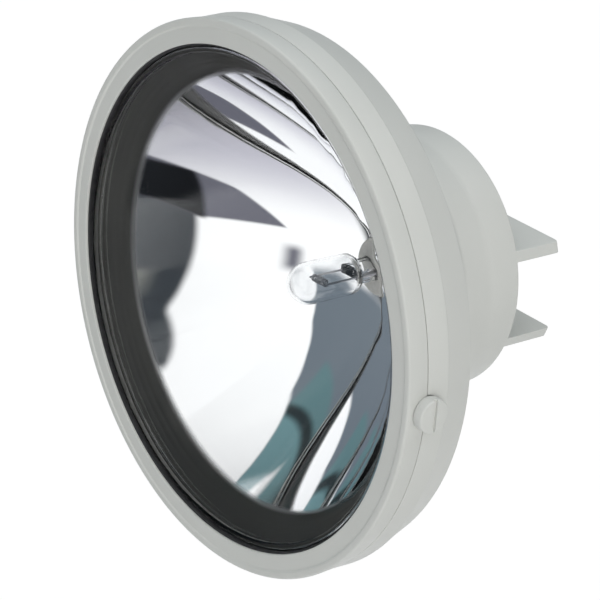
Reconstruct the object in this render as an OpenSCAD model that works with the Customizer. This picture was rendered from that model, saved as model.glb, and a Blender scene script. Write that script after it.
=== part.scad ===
// Head of a marine searchlight: a lamp unit held between a locked bezel and a moulded rear housing.
// The lamp's axis runs along Y and the beam leaves towards -Y. The origin is the middle of the fork's pin.

/* [Bezel] */
// Radius of the opening that shows the lens
opening_r = 70; // [60:0.5:85]
// Thickness of the lip in front of the lens
lip_t = 0.8; // [0.7:0.1:1.5]
// Radial width of the flat face inside the outer bead
face_w = 4.5; // [3.5:0.1:6]
// How far the flat face falls back towards the foot of the bead
face_drop = 0.4; // [0.2:0.1:0.8]
// Depth of the seam behind the front edge of the opening
seam_s = 6.2; // [6:0.1:8]
// Width of the open joint line at the seam
seam_gap = 0.25; // [0.15:0.05:0.5]
// Wall of the bezel where it laps over the housing
bezel_wall = 2.65; // [2:0.05:3.2]
// Width of the tongue that hooks into the housing opposite the lock
hook_w = 12; // [8:0.5:16]
// Thickness of the tongue
hook_t = 1.2; // [0.9:0.1:1.4]

/* [Lamp unit] */
// How far the lip covers the glass
lens_overlap = 1.2; // [0.8:0.1:2]
// Thickness of the front gasket
gasket_t = 1.6; // [1:0.1:2]
// How far the gasket shows inside the opening
gasket_show = 0.5; // [0.2:0.1:0.8]
// Thickness of the lens at its rim
lens_rim_t = 2.6; // [2.4:0.1:3.2]
// Thickness of the lens over its dome
lens_dome_t = 2.4; // [1.8:0.1:2.5]
// Height of the dome above the rim's front face
lens_rise = 3.2; // [2:0.1:5]
// Width of the flat rim of the lens
lens_rim_w = 4.2; // [3.4:0.1:5]
// Radius of the round bead on the lens rim
bead_r = 0.9; // [0.5:0.1:1.1]
// Thickness of the reflector's flange
flange_t = 0.8; // [0.6:0.1:1.2]
// Depth of the mirror from its flange to its vertex
mirror_depth = 49.9; // [46:0.1:51]
// Wall of the reflector
reflector_wall = 1.5; // [1:0.1:2]
// Thickness of the cushion behind the flange
cushion_t = 2.5; // [1.5:0.1:3.2]

/* [Housing] */
// Radial thickness of the spigot that enters the bezel
spigot_t = 2.4; // [2.2:0.1:3]
// How far the rim widens from the seam to its ridge
ridge_rise = 0.25; // [0.1:0.05:1.5]
// Distance from the seam to the ridge
ridge_back = 6.5; // [5:0.1:9]
// Small step down just behind the ridge
ridge_step = 0.35; // [0.1:0.05:0.8]
// How far the rim narrows from the ridge to its rear edge
rim_taper = 3.4; // [2:0.1:5]
// Distance from the ridge to the rim's rear edge
rim_back = 10.6; // [8:0.1:13]
// Wall of the rim behind the ridge
skirt_t = 2.4; // [1.8:0.1:3]
// Thickness of the shelf that carries the cushion
shelf_t = 2.2; // [1.6:0.1:3]
// Wall of the bowl
bowl_wall = 2.4; // [1.8:0.1:3]
// Radius of the barrel
barrel_r = 38; // [34:0.5:42]
// Distance from the mirror's vertex to the barrel's front end
barrel_back = 5.9; // [5:0.1:8]
// Length of the neck between the bowl and the barrel
neck_len = 11.6; // [10:0.1:13]
// Length of the barrel
barrel_len = 10.9; // [10:0.1:14]
// Wall of the barrel and neck
barrel_wall = 2.6; // [2:0.1:3.5]
// Thickness of the rear wall
rear_wall = 2.5; // [2:0.1:3.5]
// Length of the lap where the barrel's spigot is bonded into the neck
neck_lap = 3; // [2:0.5:4]
// Gain of the neck's radius for each unit towards the front
neck_slope = 0.18; // [0.05:0.01:0.25]
// Number of stiffening ribs under the rim
rib_count = 12; // [6:2:24]
// Thickness of a rib
rib_t = 2; // [1.2:0.1:3]
// Depth of a rib behind the shelf
rib_len = 9; // [5:0.5:11]

/* [Fork] */
// Clear gap between the ears
fork_gap = 23.2; // [18:0.2:30]
// Thickness of one ear
ear_t = 2.9; // [2.4:0.1:4]
// How far the ears stand out behind the barrel
ear_len = 15.7; // [13:0.1:18]
// Corner radius of an ear
ear_corner = 1.5; // [1:0.5:5]
// Radius of the pin's bore through both ears
pin_bore_r = 3.05; // [2.05:0.05:4.05]
// Distance from the rear wall to the pin
pin_back = 7.5; // [6.5:0.1:8]

/* [Lock] */
// Radius of the slotted head
head_r = 4.6; // [4.5:0.05:5.5]
// Height of the slotted head
head_t = 3; // [2.4:0.1:3.6]
// Width of the driver slot
slot_w = 1.2; // [0.8:0.1:1.6]
// Depth of the driver slot
slot_d = 0.7; // [0.5:0.1:1.5]
// Radius of the stud's shaft
stud_r = 2; // [1.7:0.05:2.1]
// Running clearance of the shaft in the bezel
stud_play = 0.05; // [0.02:0.01:0.1]
// Radius of the bezel's tab under the head
tab_r = 4.2; // [3.6:0.1:4.3]
// Thickness of the retaining ring
ring_t = 0.6; // [0.4:0.05:0.7]
// Outer radius of the retaining ring
ring_r = 3.1; // [2.8:0.1:3.3]

/* [Bulb] */
// Radius of the capsule
capsule_r = 6; // [5:0.1:7]
// Wall of the capsule
capsule_wall = 0.9; // [0.6:0.1:1.2]
// Distance from the filament to the capsule's tip
capsule_tip = 10; // [8:0.5:12]
// Length of the pinch
pinch_len = 11; // [9:0.5:12]
// Width of the pinch
pinch_w = 10; // [8:0.5:11]
// Thickness of the pinch
pinch_t = 3.4; // [3:0.1:4]
// Spacing of the two pins
pin_pitch = 6.35; // [5:0.05:7]
// Radius of a pin
pin_r = 0.6; // [0.4:0.05:0.8]
// Length of the pins behind the pinch
pin_len = 4; // [3:0.5:5]
// Turns of the filament
filament_turns = 8; // [5:1:12]

/* [Holder and wiring] */
// Radius of the ceramic holder
holder_r = 8.5; // [8:0.1:10]
// Thickness of the holder's flange
holder_flange_t = 2; // [1.5:0.1:3]
// Radial width of the holder's flange
holder_flange_w = 3.5; // [2.5:0.1:4]
// How deep a lead sits in the holder
lead_seat = 2; // [1.5:0.1:3]
// Distance from the reflector's vertex to the holder's seat
seat_back = 2.2; // [1.5:0.1:3]
// Thickness of the clamp plate
clamp_t = 1; // [0.8:0.1:1.5]
// Distance of each clamp screw from the axis
clamp_screw_x = 16; // [15:0.5:19]
// Radius of the clamp screws
clamp_screw_r = 1.5; // [1.2:0.1:1.8]
// Radius of an insulated lead
lead_r = 1.2; // [0.8:0.1:1.4]
// Bend radius of the leads
lead_bend = 2.5; // [2:0.1:3]
// Height of the terminal block above the axis
block_z = 14; // [12:0.5:16]
// Size of the terminal block across the leads
block_w = 18; // [15:0.5:20]
// Size of the terminal block along the leads
block_h = 11; // [9:0.5:12]
// Distance of the cable inlet from the axis
inlet_x = 21; // [18:0.5:23]
// Radius of the cable inlet
inlet_r = 3.25; // [2.5:0.05:4]
// Wall of the grommet's sleeve
grommet_wall = 2; // [1.5:0.1:2.5]
// Thickness of the grommet's flanges
grommet_flange_t = 1.4; // [1:0.1:2]

/* [Hidden] */
$fn = 96;

// Stack of the lamp unit, measured back from the front edge of the opening
lens_s = lip_t + gasket_t;
flange_s = lens_s + lens_rim_t;
cushion_s = flange_s + flange_t;
shelf_s = cushion_s + cushion_t;

// Clearances, the overlap of solids in one piece, and the overshoot of cuts
fit_gap = 0.3;
lap_gap = 0.15;
slip = 0.05;
weld = 0.5;
over = 1;
edge = 0.4;

// Radii of the nested rings
lens_r = opening_r + lens_overlap;
spigot_in = lens_r + fit_gap;
spigot_out = spigot_in + spigot_t;
lap_r = spigot_out + lap_gap;
seam_r = lap_r + bezel_wall;
face_r = opening_r + face_w;
bead_foot = 0.5;
front_flare = 0.3;
front_r = seam_r + front_flare;
mirror_r = lens_r - lens_rim_w;
shelf_in = mirror_r + reflector_wall + fit_gap;

// Collar of the bezel that centres the glass, and the spigot behind it
collar_depth = 0.5;
shoulder_s = lens_s + collar_depth;
spigot_s = shoulder_s + lap_gap;

// Rim of the housing
ridge_s = seam_s + ridge_back;
ridge_r = seam_r + ridge_rise;
rim_s = ridge_s + rim_back;
rim_r = ridge_r - rim_taper;

// Reflector: a parabola from the flange to the vertex
vertex_s = cushion_s + mirror_depth;
focal = mirror_r * mirror_r / (4 * mirror_depth);
focus_s = vertex_s - focal;
seat_s = vertex_s + seat_back;
function mirror_s(r) = vertex_s - r * r / (4 * focal);
mirror_steps = 28;
boss_wall = 1.5;
boss_r = clamp_screw_r + boss_wall;
boss_s = focus_s + focal / 2;
throat_len = 4;

// Bowl of the housing: a sphere through the shelf and the root of the neck
barrel_s = vertex_s + barrel_back;
neck_s = barrel_s - neck_len;
neck_r = barrel_r + neck_slope * (barrel_s - neck_s);
bowl_start_r = spigot_in;
bowl_c = (neck_r * neck_r + neck_s * neck_s - bowl_start_r * bowl_start_r - shelf_s * shelf_s)
         / (2 * (neck_s - shelf_s));
bowl_r = sqrt(bowl_start_r * bowl_start_r + (shelf_s - bowl_c) * (shelf_s - bowl_c));
function bowl_at(s, r) = sqrt(r * r - (s - bowl_c) * (s - bowl_c));

// Fillet between the bowl and the neck, sunk a hair so that it cuts both cleanly
neck_root = 4;
neck_fillet = 6;
fillet_sink = 0.03;
neck_norm = sqrt(1 + neck_slope * neck_slope);
fillet_a = barrel_r + neck_slope * barrel_s + neck_fillet * neck_norm;
fillet_b = fillet_a * neck_slope + bowl_c;
fillet_d = fillet_a * fillet_a + bowl_c * bowl_c - (bowl_r + neck_fillet) * (bowl_r + neck_fillet);
fillet_s = (fillet_b + sqrt(fillet_b * fillet_b - neck_norm * neck_norm * fillet_d))
           / (neck_norm * neck_norm);
fillet_r = fillet_a - neck_slope * fillet_s;

// Rear end and the fork
lap_joint_r = barrel_r - barrel_wall / 2;
rear_s = barrel_s + barrel_len;
wall_s = rear_s - rear_wall;
pin_s = rear_s + pin_back;
ear_end_s = rear_s + ear_len;
ear_outer = fork_gap / 2 + ear_t;

// Lens: two spheres about one centre
dome_r = mirror_r;
dome_front = (dome_r * dome_r + lens_rise * lens_rise) / (2 * lens_rise);
dome_c = lens_s - lens_rise + dome_front;

// Lock: the notch in the spigot, the tab's recess and the stud's levels, as distances from the lamp's axis
notch_r = stud_r + fit_gap;
recess_r = tab_r + fit_gap;
pad_proud = 0.4;
pad_x = seam_r + pad_proud;
head_x = pad_x + slip;
ring_gap = 0.1;
ring_x = lap_r - ring_gap - ring_t;
cam_x = ring_x - ring_gap;
groove_depth = 0.4;
groove_r = stud_r - groove_depth;
pocket_r = ring_r + fit_gap;
stud_end_x = lens_r + weld;

// Bulb, holder and wiring
pinch_sink = 0.5;
pinch_end_s = vertex_s + pinch_sink;
pinch_s = pinch_end_s - pinch_len;
pin_root = 4;
pins_s = pinch_end_s - pin_root;
pins_end_s = pinch_end_s + pin_len;
lead_wire_r = 0.3;
coil_r = 0.9;
coil_wire = 0.2;
coil_sides = 6;
coil_steps = 12;
holder_grip = 3;
holder_front_s = pinch_end_s - holder_grip;
clamp_s = seat_s + holder_flange_t;
lead_s = pins_end_s + slip;
holder_end_s = max(lead_s + lead_seat, clamp_s + clamp_t);
holder_flange_r = holder_r + holder_flange_w;
lead_out = 0.4;
lead_axis_s = holder_end_s + lead_out + lead_bend;
lead_x = pin_pitch / 2;
block_floor = 1.2;
block_s = lead_axis_s + lead_r + block_floor;
block_cover = 2.4;
block_front_s = lead_axis_s - lead_r - block_cover;
block_mid_z = block_z + block_h / 2;
block_entry = 5;
block_screw_r = 1.5;
block_hole_r = block_screw_r + fit_gap;
block_screw_sink = 0.4;
block_slot_w = 0.5;
fixing_r = 1.1;
fixing_bite = 1.4;
fixing_len = wall_s - block_s + fixing_bite;
fixing_head_t = 1;
fixing_seat_s = block_front_s + fixing_head_t + fit_gap;
clamp_bite = 3.5;
clamp_hole = 4;
clamp_head_t = 1.6;
screw_head_ratio = 1.8;
screw_slot_ratio = 0.4;
grommet_r = inlet_r + grommet_wall;
membrane_t = 0.8;
grommet_flange_w = 2;
grommet_flange_r = grommet_r + grommet_flange_w;

white = [0.80, 0.81, 0.78];
brass = [0.78, 0.62, 0.30];
steel = [0.70, 0.71, 0.73];

// Turns a profile of radius and depth about the lamp's axis
module about_axis() {
    translate([0, -pin_s, 0]) rotate([-90, 0, 0]) children();
}

module turned() {
    about_axis() rotate_extrude() children();
}

// Ring of one rectangular section
module turned_ring(r_in, r_out, s_front, s_back) {
    turned() translate([r_in, s_front]) square([r_out - r_in, s_back - s_front]);
}

// Local frame of the lock: z runs out from the lamp's axis through the seam, y runs back
module lock_frame() {
    translate([0, seam_s - pin_s, 0]) rotate([0, 90, 0]) children();
}

// The same frame on the far side, where the bezel hooks in
module hook_frame() {
    rotate([0, 180, 0]) lock_frame() children();
}

// Round bar along the lamp's axis
module axial_bar(x, z, r, s_front, s_back) {
    translate([x, s_front - pin_s, z]) rotate([-90, 0, 0]) cylinder(r = r, h = s_back - s_front);
}

// Box centred across the lamp's axis at one height
module axial_box(w, h, s_front, s_back, z = 0) {
    translate([-w / 2, s_front - pin_s, z - h / 2]) cube([w, s_back - s_front, h]);
}

// Ring section: flat face that falls back from the opening, and a raised bead round the outside
module bezel_profile() {
    polygon([[opening_r, edge], [opening_r + edge, 0], [face_r, face_drop], [face_r + bead_foot, 0],
             [front_r - edge, 0], [front_r, edge], [seam_r, seam_s - seam_gap / 2],
             [lap_r, seam_s - seam_gap / 2], [lap_r, shoulder_s], [spigot_in, shoulder_s],
             [spigot_in, lip_t], [opening_r, lip_t]]);
}

module bezel_hook() {
    tip = spigot_in + fit_gap;
    translate([-hook_w / 2, -seam_gap / 2 - hook_t, tip]) cube([hook_w, hook_t, lap_r + weld - tip]);
}

module front_bezel() {
    color(white) difference() {
        union() {
            turned() bezel_profile();
            lock_frame() translate([0, 0, lap_r]) cylinder(r = tab_r, h = pad_x - lap_r);
            hook_frame() bezel_hook();
        }
        lock_frame() cylinder(r = stud_r + stud_play, h = 2 * seam_r);
    }
}

module rim_profile() {
    inner_r = ridge_r - ridge_step - skirt_t;
    polygon([[spigot_in, spigot_s], [spigot_out, spigot_s], [spigot_out, seam_s + seam_gap / 2],
             [seam_r, seam_s + seam_gap / 2], [ridge_r, ridge_s], [ridge_r - ridge_step, ridge_s + edge],
             [rim_r, rim_s - edge], [rim_r - edge, rim_s], [rim_r - skirt_t, rim_s], [inner_r, ridge_s],
             [inner_r, shelf_s + shelf_t], [shelf_in, shelf_s + shelf_t], [shelf_in, shelf_s],
             [spigot_in, shelf_s]]);
}

module bowl_outline(r) {
    intersection() {
        translate([0, bowl_c]) circle(r = r, $fn = 180);
        translate([0, shelf_s]) square([2 * bowl_r, barrel_s - shelf_s]);
    }
}

// Filling in the corner between bowl and neck, with the fillet's circle cut away
module neck_fillet_profile() {
    tip = [fillet_r - neck_fillet / neck_norm, fillet_s - neck_fillet * neck_slope / neck_norm];
    pull = bowl_r / (bowl_r + neck_fillet);
    root = [fillet_r * pull, bowl_c + (fillet_s - bowl_c) * pull];
    sink = bowl_wall / 2;
    difference() {
        polygon([root, [fillet_r, fillet_s], tip,
                 [tip[0] - sink, tip[1] - sink], [root[0] - sink, root[1] - sink]]);
        translate([fillet_r - fillet_sink, fillet_s - fillet_sink]) circle(r = neck_fillet);
    }
}

// Tapered neck up to the barrel's shoulder, or its bore, which runs on past it
module neck_outline(inset, past) {
    lip = neck_s - neck_root;
    end_r = barrel_r - inset;
    polygon([[0, lip], [end_r + neck_slope * (barrel_s - lip), lip], [end_r, barrel_s],
             [end_r, barrel_s + past], [0, barrel_s + past]]);
}

module housing_profile() {
    difference() {
        union() {
            rim_profile();
            bowl_outline(bowl_r);
            neck_fillet_profile();
            neck_outline(0, 0);
        }
        bowl_outline(bowl_r - bowl_wall);
        neck_outline(barrel_wall, over);
        translate([0, barrel_s - neck_lap]) square([lap_joint_r, neck_lap + over]);
    }
}

// Barrel with its rear wall, and the spigot that goes into the neck
module barrel_profile() {
    inner_r = barrel_r - barrel_wall;
    polygon([[0, wall_s], [inner_r, wall_s], [inner_r, barrel_s - neck_lap],
             [lap_joint_r - slip, barrel_s - neck_lap], [lap_joint_r - slip, barrel_s], [barrel_r, barrel_s],
             [barrel_r, rear_s - edge], [barrel_r - edge, rear_s], [0, rear_s]]);
}

// Flat plate with rounded rear corners, before the barrel's surface trims its sides
module ear_plan() {
    corner_x = sqrt(barrel_r * barrel_r - ear_outer * ear_outer) - ear_corner;
    corner_y = ear_end_s - ear_corner - pin_s;
    root_y = wall_s + weld - pin_s;
    hull() for (x = [-1, 1]) translate([x * corner_x, corner_y]) circle(r = ear_corner, $fn = 32);
    translate([-barrel_r, root_y]) square([2 * barrel_r, corner_y - root_y]);
}

module ears() {
    intersection() {
        about_axis() translate([0, 0, wall_s]) cylinder(r = barrel_r, h = ear_end_s);
        for (side = [-1, 1]) translate([0, 0, side * (fork_gap + ear_t) / 2 - ear_t / 2])
            linear_extrude(height = ear_t) ear_plan();
    }
}

// Ribs between the bowl and the rim
module ribs() {
    front = shelf_s + shelf_t - weld;
    back = shelf_s + shelf_t + rib_len;
    mid = bowl_r - bowl_wall / 2;
    outer = rim_r - skirt_t / 4;
    about_axis() for (i = [0 : rib_count - 1]) rotate([0, 0, (i + 0.5) * 360 / rib_count])
        rotate([90, 0, 0]) translate([0, 0, -rib_t / 2]) linear_extrude(height = rib_t)
            polygon([[bowl_at(front, mid), front], [outer, front],
                     [outer, back], [bowl_at(back, mid), back]]);
}

// What the lock takes out of the housing
module lock_cuts() {
    reach = seam_s;
    notch_x = spigot_in - over;
    translate([0, 0, lap_r - lap_gap / 2]) cylinder(r = recess_r, h = seam_r);
    translate([0, 0, cam_x]) cylinder(r = pocket_r, h = lap_r - cam_x);
    translate([-pocket_r, -reach, cam_x]) cube([2 * pocket_r, reach, lap_r - cam_x]);
    translate([0, 0, notch_x]) cylinder(r = notch_r, h = lap_r - notch_x);
    translate([-fit_gap, -reach, notch_x]) cube([notch_r + fit_gap, reach, lap_r - notch_x]);
}

// Slot in the spigot for the bezel's tongue
module hook_slot() {
    translate([-hook_w / 2 - fit_gap, -seam_gap / 2 - hook_t - lap_gap, spigot_in - over])
        cube([hook_w + 2 * fit_gap, hook_t + lap_gap + seam_gap, lap_r - spigot_in + over]);
}

module rear_housing() {
    color(white) difference() {
        union() {
            turned() housing_profile();
            ribs();
        }
        lock_frame() lock_cuts();
        hook_frame() hook_slot();
    }
}

module fork_barrel() {
    color(white) difference() {
        union() {
            turned() barrel_profile();
            ears();
            axial_box(block_w, block_h, block_s, wall_s + weld, block_mid_z);
        }
        translate([0, 0, -ear_outer - over]) cylinder(r = pin_bore_r, h = 2 * (ear_outer + over));
        axial_bar(-inlet_x, 0, grommet_r, wall_s - over, rear_s + over);
        axial_bar(0, block_mid_z, fixing_r + slip, block_s - over, block_s + fixing_len + fit_gap);
    }
}

module lens_gasket() {
    color([0.06, 0.06, 0.07]) turned_ring(opening_r - gasket_show, lens_r, lip_t, lens_s);
}

module lens_profile() {
    translate([dome_r - over, lens_s]) square([lens_r - dome_r + over, lens_rim_t]);
    translate([(dome_r + opening_r - gasket_show) / 2, lens_s]) circle(r = bead_r);
    difference() {
        intersection() {
            translate([0, lens_s - lens_rise - over]) square([dome_r, lens_rise + lens_rim_t + over]);
            translate([0, dome_c]) circle(r = dome_front, $fn = 1440);
        }
        translate([0, dome_c]) circle(r = dome_front - lens_dome_t, $fn = 1440);
    }
}

module lens() {
    color([0.85, 0.90, 0.92, 0.35]) turned() lens_profile();
}

// Closed outline under the mirror's curve, with an open throat for the holder
module mirror_outline(shift) {
    polygon(concat([[0, flange_s - over], [mirror_r + shift, flange_s - over]],
                   [for (i = [mirror_steps : -1 : 0]) let (r = mirror_r * i / mirror_steps)
                    [r + shift, mirror_s(r) + shift]],
                   [[0, vertex_s + shift]]));
}

module reflector() {
    throat_r = holder_r + fit_gap;
    color([0.86, 0.87, 0.88]) difference() {
        union() {
            turned_ring(mirror_r - over, lens_r, flange_s, cushion_s);
            turned() intersection() {
                mirror_outline(reflector_wall);
                translate([0, flange_s]) square([lens_r, seat_s]);
            }
            turned_ring(0, throat_r + reflector_wall, vertex_s - throat_len, seat_s);
            for (x = [-1, 1]) axial_bar(x * clamp_screw_x, 0, boss_r, boss_s, clamp_s);
        }
        turned() mirror_outline(0);
        axial_bar(0, 0, throat_r, focus_s, seat_s + over);
        for (x = [-1, 1])
            axial_bar(x * clamp_screw_x, 0, clamp_screw_r + slip, clamp_s - clamp_hole, clamp_s + over);
    }
}

module lamp_cushion() {
    color([0.10, 0.10, 0.11]) turned_ring(shelf_in, lens_r, cushion_s, shelf_s);
}

// Outline of the capsule's bulb: a tube with a round tip
module capsule_outline(r, tip_s, back_s) {
    intersection() {
        union() {
            translate([0, tip_s + r]) circle(r = r);
            translate([0, tip_s + r]) square([r, back_s - tip_s - r]);
        }
        translate([0, tip_s]) square([r, back_s - tip_s]);
    }
}

module capsule_glass() {
    tip_s = focus_s - capsule_tip;
    color([0.90, 0.93, 0.95, 0.35]) difference() {
        union() {
            turned() capsule_outline(capsule_r, tip_s, pinch_s);
            axial_box(pinch_w, pinch_t, pinch_s - capsule_wall, pinch_end_s);
        }
        turned() capsule_outline(capsule_r - capsule_wall, tip_s + capsule_wall, pinch_s - capsule_wall);
        for (x = [-1, 1]) {
            axial_bar(x * lead_x, 0, lead_wire_r + slip, focus_s, pins_s + slip);
            axial_bar(x * lead_x, 0, pin_r + slip, pins_s, pinch_end_s + over);
        }
    }
}

// One point of the coil's tube: turn i of the path, side j of the section
function coil_point(i, j) =
    let (turn = 360 * i / coil_steps, side = 360 * j / coil_sides, out = coil_r + coil_wire * cos(side),
         span = 2 * (lead_x - lead_wire_r - coil_wire))
    [span * (i / (coil_steps * filament_turns) - 0.5) + coil_wire * sin(side),
     out * cos(turn), out * sin(turn)];

module filament() {
    rings = coil_steps * filament_turns;
    points = [for (i = [0 : rings]) for (j = [0 : coil_sides - 1]) coil_point(i, j)];
    walls = [for (i = [0 : rings - 1]) for (j = [0 : coil_sides - 1]) let (k = (j + 1) % coil_sides)
             [i * coil_sides + j, i * coil_sides + k, (i + 1) * coil_sides + k, (i + 1) * coil_sides + j]];
    front_cap = [for (j = [coil_sides - 1 : -1 : 0]) j];
    back_cap = [for (j = [0 : coil_sides - 1]) rings * coil_sides + j];
    color([0.45, 0.45, 0.47]) translate([0, focus_s - pin_s, 0])
        polyhedron(points = points, faces = concat(walls, [front_cap, back_cap]));
}

module filament_leads() {
    color(steel) for (x = [-1, 1]) axial_bar(x * lead_x, 0, lead_wire_r, focus_s - coil_r, pins_s);
}

module capsule_pins() {
    color(steel) for (x = [-1, 1]) axial_bar(x * lead_x, 0, pin_r, pins_s, pins_end_s);
}

module bulb_holder() {
    color([0.92, 0.91, 0.87]) difference() {
        union() {
            turned_ring(0, holder_r, holder_front_s, holder_end_s);
            turned_ring(0, holder_flange_r, seat_s, clamp_s);
        }
        axial_box(pinch_w + 2 * slip, pinch_t + 2 * slip, holder_front_s - over, pinch_end_s + slip);
        for (x = [-1, 1]) {
            axial_bar(x * lead_x, 0, pin_r + slip, pinch_end_s, pins_end_s + slip);
            axial_bar(x * lead_x, 0, lead_r + slip, pins_end_s, holder_end_s + over);
        }
    }
}

module holder_clamp() {
    color(steel) difference() {
        union() {
            axial_bar(0, 0, holder_flange_r, clamp_s, clamp_s + clamp_t);
            axial_box(2 * (clamp_screw_x + boss_r), 2 * boss_r, clamp_s, clamp_s + clamp_t);
        }
        axial_bar(0, 0, holder_r + fit_gap, clamp_s - over, clamp_s + clamp_t + over);
        for (x = [-1, 1])
            axial_bar(x * clamp_screw_x, 0, clamp_screw_r + slip, clamp_s - over, clamp_s + clamp_t + over);
    }
}

// Cheese-head screw along the lamp's axis: the head's seat, its shank to the rear or front, and a slot
module axial_screw(x, z, shank_r, seat, shank_len, head_h, back) {
    head_half = screw_head_ratio * shank_r;
    slot_half = screw_slot_ratio * shank_r / 2;
    head_from = back ? seat - head_h : seat;
    shank_from = back ? seat : seat - shank_len;
    slot_from = back ? head_from - over : seat + head_h / 2;
    difference() {
        union() {
            axial_bar(x, z, head_half, head_from, head_from + head_h);
            axial_bar(x, z, shank_r, shank_from, shank_from + shank_len);
        }
        translate([x, 0, 0])
            axial_box(2 * slot_half, 3 * head_half, slot_from, slot_from + head_h / 2 + over, z);
    }
}

module clamp_screws() {
    color(steel) for (x = [-1, 1])
        axial_screw(x * clamp_screw_x, 0, clamp_screw_r, clamp_s + clamp_t,
                    clamp_t + clamp_bite, clamp_head_t, false);
}

// Insulated lead: straight out of the holder, one bend, and up into the terminal block
module lead(x) {
    axial_bar(x, 0, lead_r, lead_s, holder_end_s + lead_out);
    translate([x, holder_end_s + lead_out - pin_s, lead_bend]) rotate([0, 90, 0])
        rotate_extrude(angle = 90) translate([lead_bend, 0]) circle(r = lead_r, $fn = 24);
    translate([x, lead_axis_s - pin_s, lead_bend])
        cylinder(r = lead_r, h = block_z + block_entry - lead_bend);
}

module lead_positive() {
    color([0.65, 0.08, 0.07]) lead(lead_x);
}

module lead_negative() {
    color([0.07, 0.07, 0.08]) lead(-lead_x);
}

module block_screw_places() {
    for (x = [-1, 1]) for (z = [0.25, 0.75]) translate([x * lead_x, 0, block_z + z * block_h]) children();
}

module terminal_block() {
    color([0.88, 0.88, 0.84]) difference() {
        axial_box(block_w, block_h, block_front_s, block_s, block_mid_z);
        for (x = [-1, 1]) translate([x * lead_x, lead_axis_s - pin_s, block_z - over])
            cylinder(r = lead_r + slip, h = block_h + 2 * over);
        block_screw_places() axial_bar(0, 0, block_hole_r, block_front_s - over, lead_axis_s);
        axial_bar(0, block_mid_z, fixing_r + slip, block_front_s - over, block_s + over);
        axial_bar(0, block_mid_z, screw_head_ratio * fixing_r + slip, block_front_s - over, fixing_seat_s);
    }
}

module block_clamp_screws() {
    top_s = block_front_s + block_screw_sink;
    color(brass) block_screw_places() difference() {
        axial_bar(0, 0, block_screw_r, top_s, lead_axis_s - lead_r - slip);
        axial_box(block_slot_w, 3 * block_screw_r, block_front_s, top_s + block_slot_w);
    }
}

module block_fixing_screw() {
    shank_len = block_s - fixing_seat_s + fixing_len;
    color(steel) axial_screw(0, block_mid_z, fixing_r, fixing_seat_s, shank_len, fixing_head_t, true);
}

// Membrane grommet: the cable is pushed through the thin skin in its middle
module cable_grommet() {
    middle_s = (wall_s + rear_s) / 2;
    color([0.09, 0.09, 0.10]) translate([-inlet_x, 0, 0]) difference() {
        union() {
            axial_bar(0, 0, grommet_r, wall_s - weld, rear_s + weld);
            axial_bar(0, 0, grommet_flange_r, wall_s - grommet_flange_t, wall_s);
            axial_bar(0, 0, grommet_flange_r, rear_s, rear_s + grommet_flange_t);
        }
        axial_bar(0, 0, inlet_r, wall_s - grommet_flange_t - over, middle_s - membrane_t / 2);
        axial_bar(0, 0, inlet_r, middle_s + membrane_t / 2, rear_s + grommet_flange_t + over);
    }
}

// Quarter-turn stud: slotted head, shaft in the bezel, ring groove, and a half-round cam in the notch
module lock_stud_right() {
    color(white) lock_frame() difference() {
        union() {
            translate([0, 0, head_x]) cylinder(r = head_r, h = head_t - edge);
            translate([0, 0, head_x + head_t - edge]) cylinder(r1 = head_r, r2 = head_r - edge, h = edge);
            translate([0, 0, ring_x + ring_t]) cylinder(r = stud_r, h = head_x - ring_x - ring_t);
            translate([0, 0, ring_x]) cylinder(r = groove_r, h = ring_t);
            translate([0, 0, stud_end_x]) cylinder(r = stud_r, h = ring_x - stud_end_x);
        }
        translate([-2 * head_r, -slot_w / 2, head_x + head_t - slot_d])
            cube([4 * head_r, slot_w, 2 * slot_d]);
        translate([-stud_r - over, 0, stud_end_x - over])
            cube([2 * (stud_r + over), stud_r + over, cam_x - stud_end_x + over]);
    }
}

module lock_ring_right() {
    color(steel) lock_frame() translate([0, 0, ring_x]) difference() {
        cylinder(r = ring_r, h = ring_t);
        translate([0, 0, -over]) cylinder(r = groove_r, h = ring_t + 2 * over);
    }
}

front_bezel();
rear_housing();
fork_barrel();
lens_gasket();
lens();
reflector();
lamp_cushion();
capsule_glass();
filament();
filament_leads();
capsule_pins();
bulb_holder();
holder_clamp();
clamp_screws();
lead_positive();
lead_negative();
terminal_block();
block_clamp_screws();
block_fixing_screw();
cable_grommet();
lock_stud_right();
lock_ring_right();
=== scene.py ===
"""Dresses a marine searchlight head: moulded shells, lens, mirror bowl, bulb and lock, in a pale studio."""

import logging
import math
from collections.abc import Callable, Sequence
from dataclasses import dataclass
from enum import Enum

import bmesh
import bpy
from mathutils import Matrix, Quaternion, Vector


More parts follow.
